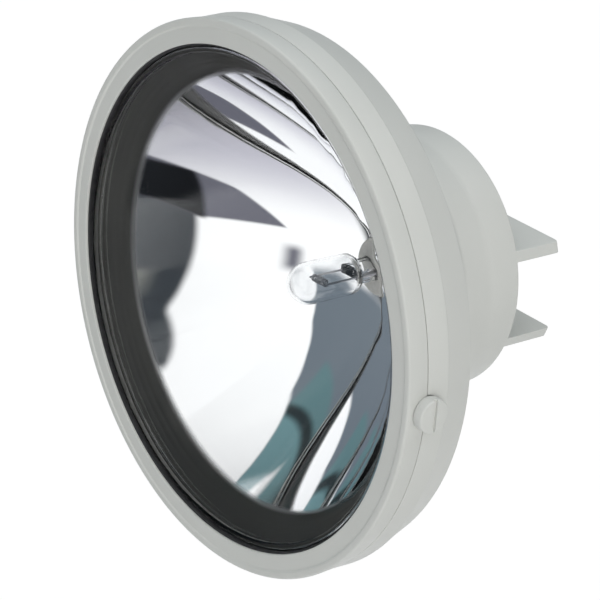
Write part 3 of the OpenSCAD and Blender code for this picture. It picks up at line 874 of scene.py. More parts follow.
@dataclass(frozen=True)
class Housing:
    """Moulded rear shell: spigot, flared rim, ribbed channel, round bowl, neck, barrel and fork."""

    ridge_r: float = 76.95 * MM
    ridge_s: float = 12.7 * MM
    ridge_step: float = 0.35 * MM
    step_run: float = 0.4 * MM
    rim_r: float = 73.55 * MM
    rim_s: float = 23.3 * MM
    skirt_t: float = 2.4 * MM
    shelf_t: float = 2.2 * MM
    bowl_wall: float = 2.4 * MM
    neck_slope: float = 0.18
    neck_len: float = 11.6 * MM
    neck_fillet: float = 6.0 * MM
    barrel_r: float = 38.0 * MM
    barrel_s: float = 61.6 * MM
    barrel_wall: float = 2.6 * MM
    rear_s: float = 72.5 * MM
    rear_wall: float = 2.5 * MM
    rib_count: int = 12
    rib_t: float = 2.0 * MM
    rib_len: float = 9.0 * MM
    fork_gap: float = 23.2 * MM
    ear_t: float = 2.9 * MM
    ear_end_s: float = 88.2 * MM
    ear_corner: float = 1.5 * MM
    ear_round: float = 0.18 * MM
    flush: float = 0.02 * MM
    pin_bore_r: float = 3.05 * MM
    inlet_x: float = 21.0 * MM
    inlet_hole_r: float = 5.25 * MM
    ring_room_r: float = 3.4 * MM
    ring_room_x: float = 73.25 * MM
    weld: float = 0.5 * MM
    small_cut: float = 0.15 * MM
    ridge_cut: float = 0.3 * MM
    rim_cut: float = 0.7 * MM
    crease_cut: float = 1.2 * MM
    rear_cut: float = 0.9 * MM
    bowl_steps: int = 34
    inside_steps: int = 30
    fillet_steps: int = 10
    corner_steps: int = 8

    @property
    def wall_s(self) -> float:
        """Depth of the rear wall's inner face."""
        return self.rear_s - self.rear_wall

    @property
    def neck_line(self) -> float:
        """Radius at which the neck's slope would meet the opening's plane."""
        return self.barrel_r + self.neck_slope * self.barrel_s

    @property
    def bowl(self) -> tuple[float, float]:
        """Depth of the bowl's centre and its outer radius, through the shelf and the neck's root."""
        neck_s = self.barrel_s - self.neck_len
        neck_r = self.neck_line - self.neck_slope * neck_s
        far = neck_r**2 + neck_s**2
        near = PLAN.spigot_in**2 + PLAN.shelf_s**2
        middle = (far - near) / (2 * (neck_s - PLAN.shelf_s))
        return middle, math.hypot(PLAN.spigot_in, PLAN.shelf_s - middle)

    def neck_meets(self, line: float, radius: float) -> float:
        """Depth at which a line of the neck's slope meets a sphere about the bowl's centre.

        Args:
            line: Radius at which the line would meet the opening's plane.
            radius: Radius of the sphere.

        Returns:
            The rearmost depth that they share.
        """
        middle, _ = self.bowl
        norm = 1 + self.neck_slope**2
        half = line * self.neck_slope + middle
        rest = line**2 + middle**2 - radius**2
        return (half + math.sqrt(half**2 - norm * rest)) / norm

    def bowl_arc(self, radius: float, start_s: float, end_s: float, steps: int) -> list[Corner]:
        """Points along a sphere about the bowl's centre, between two depths."""
        middle, _ = self.bowl
        start = math.asin((start_s - middle) / radius)
        end = math.asin((end_s - middle) / radius)
        return arc((0.0, middle), radius, start, end, steps)

    def outline(self) -> list[Corner]:
        """The shell's whole outline, from the axis inside to the axis at the rear."""
        middle, bowl_r = self.bowl
        bowl_in = bowl_r - self.bowl_wall
        norm = math.hypot(1, self.neck_slope)
        inner_line = self.neck_line - self.barrel_wall
        inner_s = self.neck_meets(inner_line, bowl_in)
        mid_line = self.neck_line + self.neck_fillet * norm
        fillet_s = self.neck_meets(mid_line, bowl_r + self.neck_fillet)
        fillet_r = mid_line - self.neck_slope * fillet_s
        towards_bowl = math.atan2(middle - fillet_s, -fillet_r)
        towards_neck = math.atan2(-self.neck_slope, -1.0)
        under_shelf = PLAN.shelf_s + self.shelf_t
        bowl_end = middle + (fillet_s - middle) * bowl_r / (bowl_r + self.neck_fillet)
        skirt_in = self.ridge_r - self.ridge_step - self.skirt_t
        seam = PLAN.seam_s + PLAN.seam_gap / 2
        barrel_in = self.barrel_r - self.barrel_wall
        return [
            Corner(0.0, self.wall_s),
            Corner(barrel_in, self.wall_s, self.rim_cut),
            Corner(barrel_in, self.barrel_s),
            *self.bowl_arc(bowl_in, inner_s, PLAN.shelf_s, self.inside_steps),
            Corner(PLAN.spigot_in, PLAN.shelf_s),
            Corner(PLAN.spigot_in, PLAN.spigot_s, self.small_cut),
            Corner(PLAN.spigot_out, PLAN.spigot_s, self.small_cut),
            Corner(PLAN.spigot_out, seam),
            Corner(PLAN.seam_r, seam, self.small_cut),
            Corner(self.ridge_r, self.ridge_s, self.small_cut),
            Corner(self.ridge_r - self.ridge_step, self.ridge_s + self.step_run, self.small_cut),
            Corner(self.rim_r, self.rim_s, self.rim_cut),
            Corner(self.rim_r - self.skirt_t, self.rim_s, self.ridge_cut),
            Corner(skirt_in, self.ridge_s),
            Corner(skirt_in, under_shelf, self.rim_cut),
            *self.bowl_arc(bowl_r, under_shelf, bowl_end, self.bowl_steps)[:-1],
            *arc((fillet_r, fillet_s), self.neck_fillet, towards_bowl, towards_neck, self.fillet_steps),
            Corner(self.barrel_r, self.barrel_s, self.crease_cut),
            Corner(self.barrel_r, self.rear_s, self.rear_cut),
            Corner(0.0, self.rear_s),
        ]

    def ear(self, name: str) -> Object:
        """Models the upper ear: a slice of the barrel's round with its rear corners rounded.

        Args:
            name: Name of the solid.

        Returns:
            The ear.
        """
        root = on_axis(self.wall_s + self.weld)
        tip = on_axis(self.ear_end_s)
        plate = Bench.bar(name, self.barrel_r - self.flush, root, tip, TURN_STEPS)
        low, high = self.fork_gap / 2, self.fork_gap / 2 + self.ear_t
        bpy.ops.object.mode_set(mode="EDIT")
        for level, keep_above in ((low, True), (high, False)):
            bpy.ops.mesh.select_all(action="SELECT")
            bpy.ops.mesh.bisect(plane_co=(0, 0, level), plane_no=(0, 0, 1), use_fill=True,
                                clear_inner=keep_above, clear_outer=not keep_above)
        half_width = math.sqrt((self.barrel_r - self.flush) ** 2 - high**2)
        for side in (-1, 1):
            Bench.pick(plate, lambda co: co.y > tip.y - NEAR and side * co.x > half_width - self.flush)
            bpy.ops.mesh.bevel(offset=self.ear_corner, segments=self.corner_steps, affect="EDGES")
        bpy.ops.object.mode_set(mode="OBJECT")
        return Bench.soften(Bench.tidy(plate), self.ear_round)

    def fork(self) -> Object:
        """Models both ears as one tool: the upper one and its turned copy."""
        upper = self.ear("ear_upper")
        Bench.take(upper)
        bpy.ops.object.duplicate(linked=False)
        lower = Bench.place(Bench.named("ear_lower"), Matrix.Rotation(math.pi, 4, "Y"))
        return Bench.merge("fork", [upper, lower])

    def ribs(self) -> Object:
        """Models the ring of ribs between bowl and rim: one rib, copied round the axis."""
        middle, bowl_r = self.bowl
        mid_r = bowl_r - self.bowl_wall / 2
        front = PLAN.shelf_s + self.shelf_t - self.weld
        back = PLAN.shelf_s + self.shelf_t + self.rib_len
        outer = self.rim_r - self.skirt_t / 4
        front_in = math.sqrt(mid_r**2 - (front - middle) ** 2)
        back_in = math.sqrt(mid_r**2 - (back - middle) ** 2)
        low = Vector((front_in, FRONT_Y + front, -self.rib_t / 2))
        high = Vector((outer, FRONT_Y + back, self.rib_t / 2))
        rib = Bench.block("ribs", low, high)
        bpy.ops.object.mode_set(mode="EDIT")
        Bench.pick(rib, lambda co: co.x < front_in + NEAR and co.y > high.y - NEAR)
        bpy.ops.transform.translate(value=(back_in - front_in, 0, 0))
        bpy.ops.object.mode_set(mode="OBJECT")
        Bench.place(rib, Matrix.Rotation(math.pi / self.rib_count, 4, "Y"))
        bpy.ops.object.mode_set(mode="EDIT")
        bpy.ops.mesh.select_all(action="SELECT")
        bpy.ops.mesh.spin(steps=self.rib_count - 1, dupli=True, center=(0, 0, 0), axis=(0, 1, 0),
                          angle=math.tau * (self.rib_count - 1) / self.rib_count)
        return Bench.tidy(rib)

    def lock_cut(self) -> Object:
        """Models what the lock takes out of the shell: a stepped bar for shaft, ring and tab."""
        steps = (
            (PLAN.stud_r + PLAN.fit_gap, PLAN.lens_r, self.ring_room_x),
            (self.ring_room_r, self.ring_room_x, PLAN.spigot_out),
            (PLAN.tab_r + PLAN.fit_gap, PLAN.spigot_out, PLAN.pad_x + PLAN.tab_r),
        )
        sides = [corner for r, start, end in steps for corner in (Corner(r, start), Corner(r, end))]
        corners = [Corner(0.0, sides[0].s), *sides, Corner(0.0, sides[-1].s)]
        return Bench.place(Bench.turned("lock_cut", corners, SMALL_STEPS), PLAN.lock_frame)

    def build(self, palette: Palette) -> list[Object]:
        """Models and finishes the shell.

        Args:
            palette: Finishes.

        Returns:
            The shell.
        """
        shell = Bench.place(Bench.turned("housing_shell", self.outline()), AT_FRONT)
        Bench.join(shell, Bench.merge("added", [self.fork(), self.ribs()]), Join.ADD)
        pin_reach = Vector((0, 0, self.barrel_r))
        inlet = Vector((-self.inlet_x, FRONT_Y + self.wall_s - self.weld, 0.0))
        depth = Vector((0.0, self.rear_wall + 2 * self.weld, 0.0))
        cuts = [
            self.lock_cut(),
            Bench.bar("pin_bore", self.pin_bore_r, -pin_reach, pin_reach),
            Bench.bar("inlet_hole", self.inlet_hole_r, inlet, inlet + depth),
        ]
        Bench.join(shell, Bench.merge("cut_away", cuts), Join.CUT)
        return [palette.mount(shell, Finish.WHITE_PLASTIC, Body.HEAD, "rear_housing", "fork_barrel")]


@dataclass(frozen=True)
class LampUnit:
    """What the bezel clamps: gasket, pressed lens with its wavy bead, and mirror bowl."""

    gasket_show: float = 0.5 * MM
    gasket_cut: float = 0.25 * MM
    lens_rise: float = 3.2 * MM
    lens_dome_t: float = 2.4 * MM
    rim_cut: float = 0.4 * MM
    bead_r: float = 0.9 * MM
    bead_wave: float = 0.4 * MM
    bead_pitch: float = 7.0 * MM
    reflector_wall: float = 1.5 * MM
    rim_r: float = 69.5 * MM
    coat_s: float = 10.8 * MM
    ridge_count: int = 4
    ridge_w: float = 0.5 * MM
    ridge_rise: float = 0.10 * MM
    seat_back: float = 2.2 * MM
    throat_r: float = 8.8 * MM
    mirror_steps: int = 64
    dome_steps: int = 24
    bead_steps: int = 10

    def gasket(self) -> Object:
        """Models the black seal, with a rounded inner lip."""
        return Bench.turned("gasket_ring", [
            Corner(PLAN.opening_r - self.gasket_show, PLAN.lip_t, self.gasket_cut),
            Corner(PLAN.lens_r, PLAN.lip_t),
            Corner(PLAN.lens_r, PLAN.lens_s),
            Corner(PLAN.opening_r - self.gasket_show, PLAN.lens_s, self.gasket_cut),
        ])

    def lens_outline(self) -> list[Corner]:
        """The lens's outline: domed front, bead, rim and hollow back."""
        front_r = (PLAN.mirror_r**2 + self.lens_rise**2) / (2 * self.lens_rise)
        middle = PLAN.lens_s - self.lens_rise + front_r
        back_r = front_r - self.lens_dome_t
        edge_front = math.asin((middle - PLAN.lens_s) / front_r)
        edge_back = math.acos(PLAN.mirror_r / back_r)
        quarter = math.pi / 2
        bead_mid = ((PLAN.mirror_r + PLAN.opening_r - self.gasket_show) / 2, PLAN.lens_s)
        return [
            *arc((0.0, middle), front_r, -quarter, -edge_front, self.dome_steps),
            *arc(bead_mid, self.bead_r, -math.pi, 0.0, self.bead_steps),
            Corner(PLAN.lens_r, PLAN.lens_s, self.rim_cut),
            Corner(PLAN.lens_r, PLAN.flange_s, self.rim_cut),
            Corner(PLAN.mirror_r, PLAN.flange_s),
            *arc((0.0, middle), back_r, -edge_back, -quarter, self.dome_steps),
        ]

    def lens(self) -> Object:
        """Models the lens, with the bead pushed about as glass sets in a mould."""
        disc = Bench.turned("lens_disc", self.lens_outline(), TURN_STEPS * 2)
        wave = bpy.data.textures.new("bead_wave", "CLOUDS")
        wave.noise_scale = self.bead_pitch
        group = disc.vertex_groups.new(name="bead")
        inner, outer = PLAN.mirror_r, PLAN.opening_r - self.gasket_show
        bead = [v.index for v in disc.data.vertices
                if inner < math.hypot(v.co.x, v.co.z) < outer and v.co.y < PLAN.lens_s + self.rim_cut]
        group.add(bead, 1.0, "REPLACE")
        Bench.take(disc)
        bpy.ops.object.modifier_add(type="DISPLACE")
        push = disc.modifiers[-1]
        push.texture = wave
        push.texture_coords = "LOCAL"
        push.strength = self.bead_wave
        push.vertex_group = group.name
        bpy.ops.object.modifier_apply(modifier=push.name)
        return disc

    def bare_rim(self) -> list[Corner]:
        """The bare glass between flange and coat: a cone with fine moulded ridges."""
        slope = (self.coat_s - PLAN.flange_s) / (self.rim_r - COAT_R)
        middles = [self.rim_r - (self.rim_r - COAT_R) * (i + 1) / (self.ridge_count + 1)
                   for i in range(self.ridge_count)]
        offsets = ((self.ridge_w, 0.0), (0.0, self.ridge_rise), (-self.ridge_w, 0.0))
        points = [(middle + side, rise) for middle in middles for side, rise in offsets]
        return [Corner(r, PLAN.flange_s + (self.rim_r - r) * slope - rise) for r, rise in points]

    def mirror(self) -> Object:
        """Models the reflector: flange, bare rim, coated bowl and the throat behind its vertex."""
        wall = self.reflector_wall
        curve = (PLAN.vertex_s - self.coat_s) / COAT_R**2
        pitch = (COAT_R - self.throat_r) / self.mirror_steps
        radii = [COAT_R - pitch * i for i in range(self.mirror_steps + 1)]
        bowl = [Corner(r, PLAN.vertex_s - curve * r * r) for r in radii]
        back = [Corner(corner.r + wall, corner.s + wall) for corner in reversed(bowl)]
        seat_s = PLAN.vertex_s + self.seat_back
        return Bench.turned("mirror_bowl", [
            Corner(PLAN.lens_r, PLAN.flange_s),
            Corner(self.rim_r, PLAN.flange_s),
            *self.bare_rim(),
            *bowl,
            Corner(self.throat_r, seat_s),
            Corner(self.throat_r + wall, seat_s),
            *back,
            Corner(PLAN.mirror_r + wall, PLAN.cushion_s),
            Corner(PLAN.lens_r, PLAN.cushion_s),
        ])

    def build(self, palette: Palette) -> list[Object]:
        """Models and finishes the three pieces.

        Args:
            palette: Finishes.

        Returns:
            Gasket, lens and mirror.
        """
        made = [
            (self.gasket(), Finish.BLACK_RUBBER, "lens_gasket"),
            (self.lens(), Finish.LENS_GLASS, "lens"),
            (self.mirror(), Finish.MIRROR, "reflector"),
        ]
        return [palette.mount(Bench.place(piece, AT_FRONT), finish, Body.HEAD, node)
                for piece, finish, node in made]


@dataclass(frozen=True)
class Bulb:
    """Quartz capsule on the axis, its coil, and the ceramic holder in the mirror's throat."""

    capsule_r: float = 6.0 * MM
    capsule_wall: float = 0.9 * MM
    capsule_tip: float = 10.0 * MM
    shoulder_cut: float = 2.6 * MM
    pinch_len: float = 11.0 * MM
    pinch_w: float = 10.0 * MM
    pinch_t: float = 3.4 * MM
    pinch_sink: float = 0.5 * MM
    pinch_round: float = 0.9 * MM
    pin_pitch: float = 6.35 * MM
    lead_wire_r: float = 0.3 * MM
    coil_r: float = 0.9 * MM
    coil_wire: float = 0.2 * MM
    coil_turns: int = 8
    coil_steps: int = 20
    wire_sides: int = 10
    tip_steps: int = 12
    holder_r: float = 8.5 * MM
    holder_grip: float = 3.0 * MM
    holder_flange_r: float = 12.0 * MM
    holder_flange_t: float = 2.0 * MM
    holder_end_s: float = 62.25 * MM
    seat_back: float = LampUnit.seat_back
    holder_cut: float = 0.8 * MM
    slot_play: float = 0.05 * MM

    @property
    def pinch_end_s(self) -> float:
        """Depth of the pinch's rear end."""
        return PLAN.vertex_s + self.pinch_sink

    @property
    def pinch_s(self) -> float:
        """Depth of the pinch's front."""
        return self.pinch_end_s - self.pinch_len

    def tube(self, name: str, inset: float, back_s: float) -> Object:
        """Models the capsule's outside or its hollow.

        Args:
            name: Name of the solid.
            inset: How far it lies inside the capsule's outer face.
            back_s: Depth of its rear end.

        Returns:
            A tube with a round tip.
        """
        r = self.capsule_r - inset
        tip_s = PLAN.focus_s - self.capsule_tip + inset
        return Bench.place(Bench.turned(name, [
            *arc((0.0, tip_s + r), r, -math.pi / 2, 0.0, self.tip_steps),
            Corner(r, back_s, self.shoulder_cut),
            Corner(0.0, back_s),
        ], SMALL_STEPS), AT_FRONT)

    def capsule(self) -> Object:
        """Models the capsule: tube, flattened pinch and hollow."""
        glass = self.tube("capsule_envelope", 0.0, self.pinch_s)
        half = Vector((self.pinch_w / 2, 0.0, self.pinch_t / 2))
        start = on_axis(self.pinch_s - self.shoulder_cut)
        end = on_axis(self.pinch_end_s)
        pinch = Bench.soften(Bench.block("pinch", start - half, end + half), self.pinch_round)
        Bench.join(glass, pinch, Join.ADD)
        hollow = self.tube("hollow", self.capsule_wall, self.pinch_s - self.capsule_wall)
        return Bench.join(glass, hollow, Join.CUT)

    def coil(self) -> Object:
        """Models the filament: a fine ring of wire screwed along the X axis."""
        span = self.pin_pitch - 2 * (self.lead_wire_r + self.coil_wire)
        Bench.clear()
        start = (-span / 2, self.coil_r, 0)
        bpy.ops.mesh.primitive_circle_add(vertices=self.wire_sides, radius=self.coil_wire, location=start)
        wire = Bench.named("filament_coil")
        bpy.ops.object.transform_apply(location=True)
        bpy.ops.object.modifier_add(type="SCREW")
        screw = wire.modifiers[-1]
        screw.axis = "X"
        screw.angle = math.tau * self.coil_turns
        screw.screw_offset = span
        screw.steps = screw.render_steps = self.coil_steps * self.coil_turns
        bpy.ops.object.modifier_apply(modifier=screw.name)
        bpy.ops.object.mode_set(mode="EDIT")
        bpy.ops.mesh.select_all(action="SELECT")
        bpy.ops.mesh.fill_holes(sides=0)
        Bench.tidy(wire)
        return Bench.place(wire, Matrix.Translation((0.0, FRONT_Y + PLAN.focus_s, 0.0)))

    def holder(self) -> Object:
        """Models the ceramic holder, with the slot that grips the pinch."""
        front = self.pinch_end_s - self.holder_grip
        seat = PLAN.vertex_s + self.seat_back
        body = Bench.place(Bench.turned("holder_body", [
            Corner(0.0, front),
            Corner(self.holder_r, front, self.holder_cut),
            Corner(self.holder_r, seat),
            Corner(self.holder_flange_r, seat),
            Corner(self.holder_flange_r, seat + self.holder_flange_t),
            Corner(self.holder_r, seat + self.holder_flange_t),
            Corner(self.holder_r, self.holder_end_s, self.holder_cut),
            Corner(0.0, self.holder_end_s),
        ], MID_STEPS), AT_FRONT)
        play = Vector((self.pinch_w / 2 + self.slot_play, 0.0, self.pinch_t / 2 + self.slot_play))
        start = on_axis(front - self.holder_grip)
        end = on_axis(self.pinch_end_s + self.slot_play)
        return Bench.join(body, Bench.block("slot", start - play, end + play), Join.CUT)

    def build(self, palette: Palette) -> list[Object]:
        """Models and finishes the bulb and its holder.

        Args:
            palette: Finishes.

        Returns:
            Capsule, coil and holder.
        """
        return [
            palette.mount(self.capsule(), Finish.CAPSULE_GLASS, Body.HEAD, "capsule_glass"),
            palette.mount(self.coil(), Finish.TUNGSTEN, Body.HEAD, "filament"),
            palette.mount(self.holder(), Finish.CERAMIC, Body.HEAD, "bulb_holder"),
        ]


@dataclass(frozen=True)
class Lock:
    """The slotted quarter-turn stud on the seam."""

    head_t: float = 3.0 * MM
    head_cut: float = 0.55 * MM
    head_lift: float = 0.05 * MM
    slot_w: float = 1.2 * MM
    slot_d: float = 0.7 * MM
    ring_x: float = 73.35 * MM
    ring_t: float = 0.6 * MM
    groove_r: float = 1.6 * MM
    cam_x: float = 73.25 * MM
    end_x: float = 71.7 * MM

    def build(self, palette: Palette) -> list[Object]:
        """Models and finishes the stud: turned body, driver slot and half-round cam.

        Args:
            palette: Finishes.

        Returns:
            The stud.
        """
        seat = PLAN.pad_x + self.head_lift
        top = seat + self.head_t
        stud = Bench.turned("lock_head", [
            Corner(0.0, self.end_x),
            Corner(PLAN.stud_r, self.end_x),
            Corner(PLAN.stud_r, self.ring_x),
            Corner(self.groove_r, self.ring_x),
            Corner(self.groove_r, self.ring_x + self.ring_t),
            Corner(PLAN.stud_r, self.ring_x + self.ring_t),
            Corner(PLAN.stud_r, seat),
            Corner(PLAN.head_r, seat, self.head_cut / 2),
            Corner(PLAN.head_r, top, self.head_cut),
            Corner(0.0, top),
        ], MID_STEPS)
        wide = 2 * PLAN.head_r
        slot = Bench.block("slot", Vector((-self.slot_w / 2, top - self.slot_d, -wide)),
                           Vector((self.slot_w / 2, top + self.slot_d, wide)))
        half = Bench.block("half", Vector((-wide, self.end_x - self.slot_d, -wide)),
                           Vector((0.0, self.cam_x, wide)))
        Bench.join(stud, Bench.merge("cut_away", [slot, half]), Join.CUT)
        Bench.place(stud, PLAN.lock_frame)
        return [palette.mount(stud, Finish.WHITE_PLASTIC, Body.LOCK, "lock_stud_right")]


@dataclass(frozen=True)
class Inlet:
    """Membrane grommet in the rear wall."""

    x: float = Housing.inlet_x
    bore_r: float = 3.25 * MM
    sleeve_r: float = Housing.inlet_hole_r
    flange_r: float = 7.25 * MM
    flange_t: float = 1.4 * MM
    flange_cut: float = 0.5 * MM
    membrane_t: float = 0.8 * MM
    rear_s: float = Housing.rear_s
    wall_s: float = Housing.rear_s - Housing.rear_wall

    def build(self, palette: Palette) -> list[Object]:
        """Models and finishes the grommet.

        Args:
            palette: Finishes.

        Returns:
            The grommet.
        """
        middle = (self.wall_s + self.rear_s) / 2
        front, back = self.wall_s - self.flange_t, self.rear_s + self.flange_t
        seal = Bench.turned("grommet_seal", [
            Corner(0.0, middle - self.membrane_t / 2),
            Corner(self.bore_r, middle - self.membrane_t / 2, self.flange_cut),
            Corner(self.bore_r, front, self.flange_cut),
            Corner(self.flange_r, front, self.flange_cut),
            Corner(self.flange_r, self.wall_s),
            Corner(self.sleeve_r, self.wall_s),
            Corner(self.sleeve_r, self.rear_s),
            Corner(self.flange_r, self.rear_s),
            Corner(self.flange_r, back, self.flange_cut),
            Corner(self.bore_r, back, self.flange_cut),
            Corner(self.bore_r, middle + self.membrane_t / 2, self.flange_cut),
            Corner(0.0, middle + self.membrane_t / 2),
        ], MID_STEPS)
        Bench.place(seal, AT_FRONT @ Matrix.Translation((-self.x, 0.0, 0.0)))
        return [palette.mount(seal, Finish.BLACK_RUBBER, Body.HEAD, "cable_grommet")]


class InnerParts:
    """Nodes of the frame whose shape is already right, and their finishes."""

    FINISHES = {
        "lamp_cushion": Finish.BLACK_RUBBER,
        "filament_leads": Finish.TUNGSTEN,
        "capsule_pins": Finish.STEEL,
        "holder_clamp": Finish.STEEL,
        "clamp_screws": Finish.STEEL,
        "lead_positive": Finish.RED_INSULATION,
        "lead_negative": Finish.BLACK_INSULATION,
        "terminal_block": Finish.BLOCK_PLASTIC,
        "block_clamp_screws": Finish.BRASS,
        "block_fixing_screw": Finish.STEEL,
        "lock_ring_right": Finish.STEEL,
    }

    def build(self, palette: Palette) -> list[Object]:
        """Finishes the nodes.

        Args:
            palette: Finishes.

        Returns:
            The nodes' objects.
        """
        for node, finish in self.FINISHES.items():
            palette.dress(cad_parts[node], finish)
            LOG.info("%s: finished as %s", node, finish.value.name)
        return [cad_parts[node] for node in self.FINISHES]


@dataclass(frozen=True)
class Edge:
    """One straight edge of a patch of the surroundings, on a map of azimuth and elevation in degrees.

    Attributes:
        az: Azimuth of a point on the edge, 0 straight ahead of the lamp and positive towards +X.
        el: Elevation of that point.
        facing: Direction on the map from the edge into the patch, 0 towards higher azimuth, 90 up.
        soft: Half the width over which the edge fades.
    """

    az: float
    el: float
    facing: float
    soft: float = 1.0


@dataclass(frozen=True)
class Patch:
    """A patch of the surroundings that mirror and glass show."""

    colour: Triple
    edges: tuple[Edge, ...]


def box(az: tuple[float, float], el: tuple[float, float], soft: float) -> tuple[Edge, ...]:
    """The four edges of an upright patch.

    Args:
        az: Lowest and highest azimuth.
        el: Lowest and highest elevation.
        soft: Half the width over which the edges fade.

    Returns:
        The edges.
    """
    sides = (Edge(az[0], 0, 0, soft), Edge(az[1], 0, 180, soft))
    return (*sides, Edge(0, el[0], 90, soft), Edge(0, el[1], -90, soft))


WINDOW_TOP = (Edge(-52, 45, 264), Edge(-26, 39.5, 239))
WINDOW_SIDE = (Edge(-11, 28, 227), Edge(-1.5, 15, 205))
CARD_HEAD = Edge(50, -30.5, 228)
CARD_FOOT = Edge(46, -51, 75)
TAIL_SIDES = (Edge(34, -26.5, -88), Edge(28, -38, 36), Edge(42, -50, 62))


class Surroundings(Enum):
    """The white tent round the lamp and what shows through its openings, each painted over the last."""

    LOW_TENT = Patch((0.58, 0.57, 0.64), (Edge(0, -50, -90, 20),))
    OPEN_SIDE = Patch((0.045, 0.050, 0.055), box((-80, -36), (-48, -4), 6))
    WINDOW = Patch((0.15, 0.18, 0.21), (*WINDOW_TOP, *WINDOW_SIDE, Edge(0, -6, 90, 4)))
    NEAR_PANE = Patch((0.115, 0.205, 0.22), (*WINDOW_TOP, Edge(-35, 34, 200, 3), Edge(-55, 28.5, 95, 1.5)))
    FAR_PANE = Patch((0.15, 0.27, 0.29), (*WINDOW_TOP, Edge(-59, 37, 115), Edge(-70, 30, 90, 1.5)))
    BAR = Patch((0.025, 0.035, 0.038), (*WINDOW_TOP, Edge(-59, 34, 115), Edge(-59, 37, -65)))
    LAMP = Patch((1.0, 1.0, 1.0), box((-76, -70), (35, 40), 1.5))
    DARK_TOP = Patch((0.035, 0.041, 0.047), (Edge(40.7, 29, 25), Edge(45, 42, -90, 3), Edge(45, 12, 90)))
    DARK_SIDE = Patch((0.035, 0.040, 0.046), (Edge(45.4, 0, 0), Edge(45, 30, -90, 3), CARD_FOOT))
    SIDE_HAZE = Patch((0.30, 0.30, 0.27), box((52, 84), (1, 13), 3))
    CARD_TAIL = Patch((0.14, 0.14, 0.17), (*TAIL_SIDES, CARD_HEAD))
    BLACK_CARD = Patch((0.002, 0.002, 0.003), (Edge(43, -38, -4), CARD_HEAD, CARD_FOOT))
    TRIPOD = Patch((0.16, 0.16, 0.19), box((14, 21), (-16, -2), 3.5))


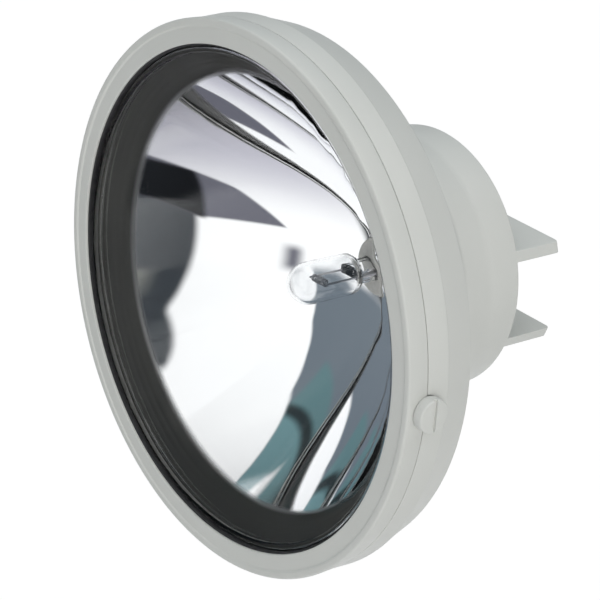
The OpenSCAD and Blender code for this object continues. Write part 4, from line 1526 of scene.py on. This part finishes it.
@dataclass(frozen=True)
class Studio:
    """Pale floor, soft light, a tent for mirror and glass to show, and the camera."""

    camera_place: Triple = (0.4509, -0.4235, 0.2545)
    camera_target: Triple = (0.0126, -0.0646, 0.0026)
    camera_roll: float = math.radians(4.93)
    camera_lens: float = 138.0
    camera_sensor: float = 36.0
    camera_near: float = 0.01
    floor_drop: float = 0.10
    floor_size: float = 8.0
    floor_tone: Triple = (0.9, 0.9, 0.9)
    floor_glow: float = 1.1
    floor_share: float = 0.2
    floor_rough: float = 0.9
    sky_tone: Triple = (0.95, 0.985, 1.0)
    horizon_tone: Triple = (0.11, 0.11, 0.10)
    sky_level: float = 1.04
    sky_lean: float = -0.1
    sky_rise: tuple[float, float] = (0.35, 0.78)
    tent_level: float = 1.16
    key_place: Triple = (1.85, -0.72, 0.22)
    key_tone: Triple = (1.0, 0.985, 0.95)
    key_size: float = 1.0
    key_power: float = 13.0

    def camera(self) -> None:
        """Sets the camera at the photo's viewing angle."""
        Bench.clear()
        bpy.ops.object.camera_add(location=self.camera_place)
        camera = bpy.context.active_object
        along = Vector(self.camera_target) - Vector(self.camera_place)
        turn = along.to_track_quat("-Z", "Y") @ Quaternion((0, 0, 1), self.camera_roll)
        camera.rotation_euler = turn.to_euler()
        camera.data.lens = self.camera_lens
        camera.data.sensor_width = self.camera_sensor
        camera.data.clip_start = self.camera_near
        bpy.context.scene.camera = camera

    def floor(self) -> None:
        """Lays the floor: white with the lamp's shadow to the camera, and clear to mirror and glass."""
        Bench.clear()
        level = CAD_BOX[0].z - self.floor_drop
        bpy.ops.mesh.primitive_plane_add(size=self.floor_size, location=(0, 0, level))
        floor = Bench.named("floor")
        board = FinishBoard("floor_white")
        board.set(Base_Color=(*self.floor_tone, 1), Roughness=self.floor_rough)
        glow = board.add("ShaderNodeEmission")
        glow.inputs["Strength"].default_value = self.floor_glow
        glow_share = board.math("MULTIPLY", board.straight(), 1 - self.floor_share)
        lit = board.layer(glow_share, board.shader.outputs["BSDF"], glow.outputs["Emission"])
        clear = board.add("ShaderNodeBsdfTransparent").outputs["BSDF"]
        surface = board.layer(board.seen(), lit, clear)
        board.link(surface, board.tree.nodes["Material Output"].inputs["Surface"])
        floor.data.materials.append(board.material)

    @staticmethod
    def tent(board: NodeBoard, x: Socket, y: Socket, z: Socket) -> Socket:
        """Paints the surroundings that mirror and glass show.

        Args:
            board: The world's nodes.
            x: First axis of the direction.
            y: Second axis, which points away from what the lamp faces.
            z: Third axis, up.

        Returns:
            Their colour in each direction.
        """
        az = board.math("DEGREES", board.math("ARCTAN2", x, board.math("MULTIPLY", y, -1.0)))
        el = board.math("DEGREES", board.math("ARCSINE", z))
        colour = (1.0, 1.0, 1.0)
        for patch in Surroundings:
            share = 1.0
            for edge in patch.value.edges:
                turn = math.radians(edge.facing)
                offset = -edge.az * math.cos(turn) - edge.el * math.sin(turn)
                across = board.math("MULTIPLY_ADD", el, math.sin(turn), offset)
                inside = board.math("MULTIPLY_ADD", az, math.cos(turn), across)
                share = board.math("MULTIPLY", share, board.ease(inside, -edge.soft, edge.soft))
            colour = board.blend(share, colour, patch.value.colour)
        return colour

    def world(self) -> None:
        """Makes a sky that lights from overhead, is white to the camera and a tent to mirror and glass."""
        world = bpy.data.worlds.new("studio")
        bpy.context.scene.world = world
        world.use_nodes = True
        board = NodeBoard(world.node_tree)
        sky = board.tree.nodes["Background"]
        x, y, z = board.axes(board.add("ShaderNodeTexCoord").outputs["Generated"])
        overhead = board.ease(board.math("MULTIPLY_ADD", y, self.sky_lean, z), *self.sky_rise)
        board.link(board.blend(overhead, self.horizon_tone, self.sky_tone), sky.inputs["Color"])
        sky.inputs["Strength"].default_value = self.sky_level
        tent = board.add("ShaderNodeBackground")
        board.link(self.tent(board, x, y, z), tent.inputs["Color"])
        tent.inputs["Strength"].default_value = self.tent_level
        white = board.add("ShaderNodeBackground")
        white.inputs["Color"].default_value = (1, 1, 1, 1)
        shown = sky.outputs["Background"]
        for share, shade in ((board.seen(), tent), (board.straight(), white)):
            shown = board.layer(share, shown, shade.outputs["Background"])
        board.link(shown, board.tree.nodes["World Output"].inputs["Surface"])

    def key(self) -> None:
        """Stands one large soft light low at the lamp's left, unseen by mirror and glass."""
        Bench.clear()
        bpy.ops.object.light_add(type="AREA", location=self.key_place)
        lamp = bpy.context.active_object
        lamp.rotation_euler = (-Vector(self.key_place)).to_track_quat("-Z", "Y").to_euler()
        lamp.data.size = self.key_size
        lamp.data.energy = self.key_power
        lamp.data.color = self.key_tone
        lamp.visible_glossy = False
        lamp.visible_transmission = False

    def build(self) -> None:
        """Sets camera, floor and light, and the plain view transform."""
        self.camera()
        self.floor()
        self.world()
        self.key()
        bpy.context.scene.view_settings.view_transform = "Standard"


def main() -> None:
    """Builds the studio and every sub-assembly in order."""
    logging.basicConfig(level=logging.INFO, format="%(name)s: %(message)s")
    Studio().build()
    palette = Palette()
    for assembly in (Bezel(), Housing(), LampUnit(), Bulb(), Lock(), Inlet(), InnerParts()):
        pieces = assembly.build(palette)
        LOG.info("%s: %d pieces", type(assembly).__name__, len(pieces))


if __name__ == "__main__":
    main()
